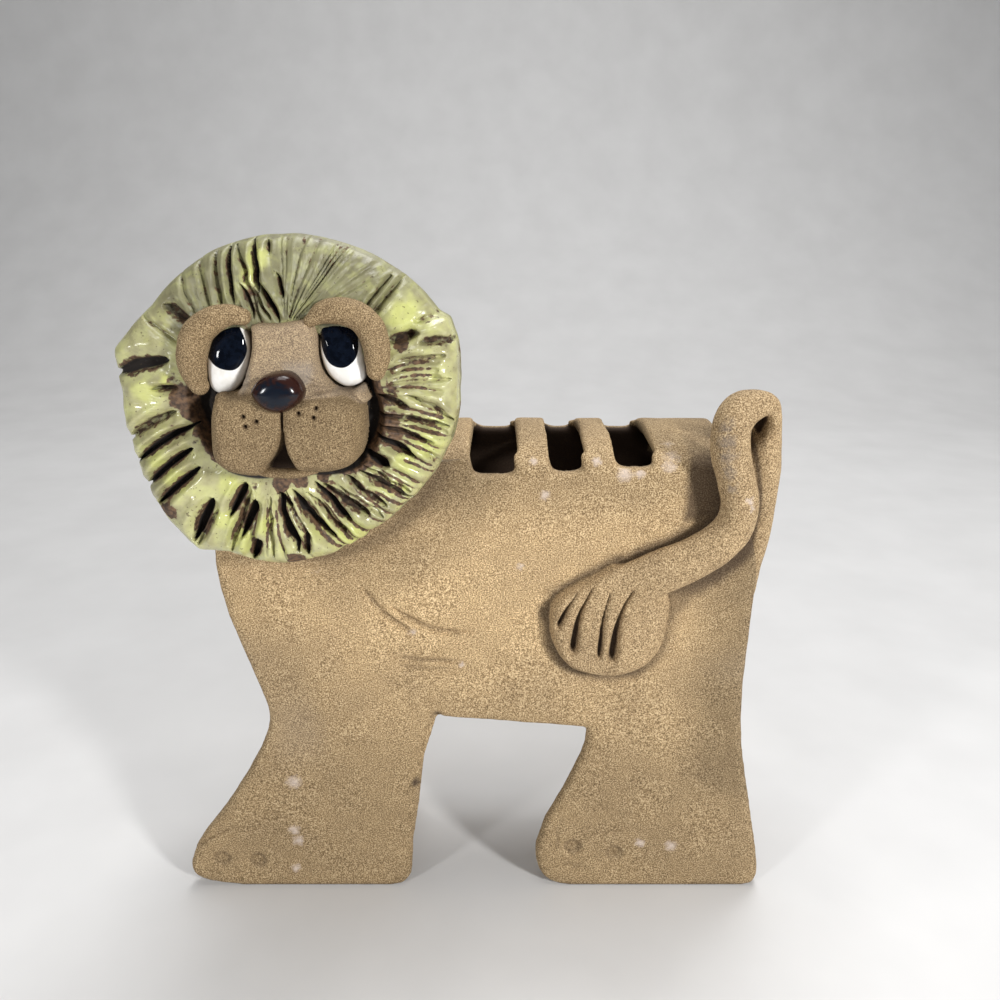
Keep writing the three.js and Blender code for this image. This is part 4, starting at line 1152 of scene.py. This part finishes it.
GROG = [(0.155, 0.100, 0.048), (0.415, 0.290, 0.150), (0.78, 0.6, 0.36)]
TAIL_GROG = [(0.140, 0.090, 0.045), (0.375, 0.262, 0.138), (0.72, 0.55, 0.33)]
BROWN_GROG = [(0.105, 0.065, 0.031), (0.275, 0.190, 0.098), (0.54, 0.41, 0.235)]

stoneware = clay("stoneware", *GROG, 0.32, SPATTERS)
tail_clay = clay("tail_stoneware", *TAIL_GROG, 0.32, FLECK, SMUDGES)
face_clay = clay("brown_clay", *BROWN_GROG, 0.25)

pieces = [
    (clay_body(), "body", "stoneware", stoneware),
    (clay_tail(), "tail", "stoneware", tail_clay),
    (glaze_mane(), "mane", "mane_glaze", glazed_mane()),
    (clay_face(), "face", "brown_clay", face_clay),
    (lip(), "lower_lip", "brown_clay", face_clay),
    (brow("left_brow"), "left_brow", "brown_clay", face_clay),
    (brow("right_brow"), "right_brow", "brown_clay", face_clay),
    (nose(), "nose", "nose_glaze", glazed_nose()),
]
eye_glaze = glazed_eye()
pieces += [(eye(name), name, "eye_glaze", eye_glaze) for name in EYES]

for piece, node, slot, material in pieces:
    piece.data.materials.clear()
    piece.data.materials.append(material)
    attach(piece, "root")
    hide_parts(node)


# Stage, light and camera


def stage():
    """A pale floor that curves up into a backdrop."""
    bend = [(0.55 + 0.5 * math.sin(a), 0.5 - 0.5 * math.cos(a)) for a in np.linspace(0, math.pi / 2, 24)]
    profile = [(-2, 0), *bend, (1.05, 3)]
    points = [(x / MM, y / MM, z / MM) for y, z in profile for x in (-3, 3)]
    floor = make("floor", points, [(2 * i, 2 * i + 1, 2 * i + 3, 2 * i + 2) for i in range(len(profile) - 1)])
    look = Look("pale_floor", Roughness=0.9, Specular_IOR_Level=0.15)
    look.use(Base_Color=look.mottled(40, 3, (0.6, 0.595, 0.59), (0.64, 0.635, 0.63), 0.3, 0.7))
    floor.data.materials.append(look.material)


def softbox(name, place, aim, size, power):
    """A rectangular light turned towards a point. The light's own axis points down."""
    data = bpy.data.lights.new(name, "AREA")
    data.shape = "RECTANGLE"
    data.size, data.size_y = size
    data.energy = power
    light = bpy.data.objects.new(name, data)
    light.location = place
    x, y, z = np.array(aim) - np.array(place)
    light.rotation_euler = (math.atan2(math.hypot(x, y), -z), 0, math.atan2(-x, y))
    bpy.context.scene.collection.objects.link(light)


stage()
softbox("right_light", (0.41, -0.42, 0.27), (0, 0, 0.1), (0.07, 0.09), 3.3)
softbox("left_light", (-0.42, -0.45, 0.24), (0, 0, 0.1), (0.07, 0.09), 1.4)
softbox("top_light", (0, 0.05, 1.1), (0, 0, 0.05), (0.6, 0.6), 5.2)
softbox("back_light", (0.15, 0.45, 1), (0, 0, 0.08), (0.5, 0.5), 6)

world = bpy.data.worlds.new("studio")
world.use_nodes = True
background = world.node_tree.nodes["Background"].inputs
background["Color"].default_value = (0.95, 0.97, 1, 1)
background["Strength"].default_value = 0.16
bpy.context.scene.world = world
bpy.context.scene.view_settings.view_transform = "Standard"

lens = bpy.data.cameras.new("camera")
lens.lens = 32.4
lens.sensor_width = 36
lens.clip_start = 0.01
camera = bpy.data.objects.new("camera", lens)
camera.location = (0.0068, -0.2064, 0.1728)
camera.rotation_euler = (math.radians(72.2), 0, 0)
bpy.context.scene.collection.objects.link(camera)
bpy.context.scene.camera = camera
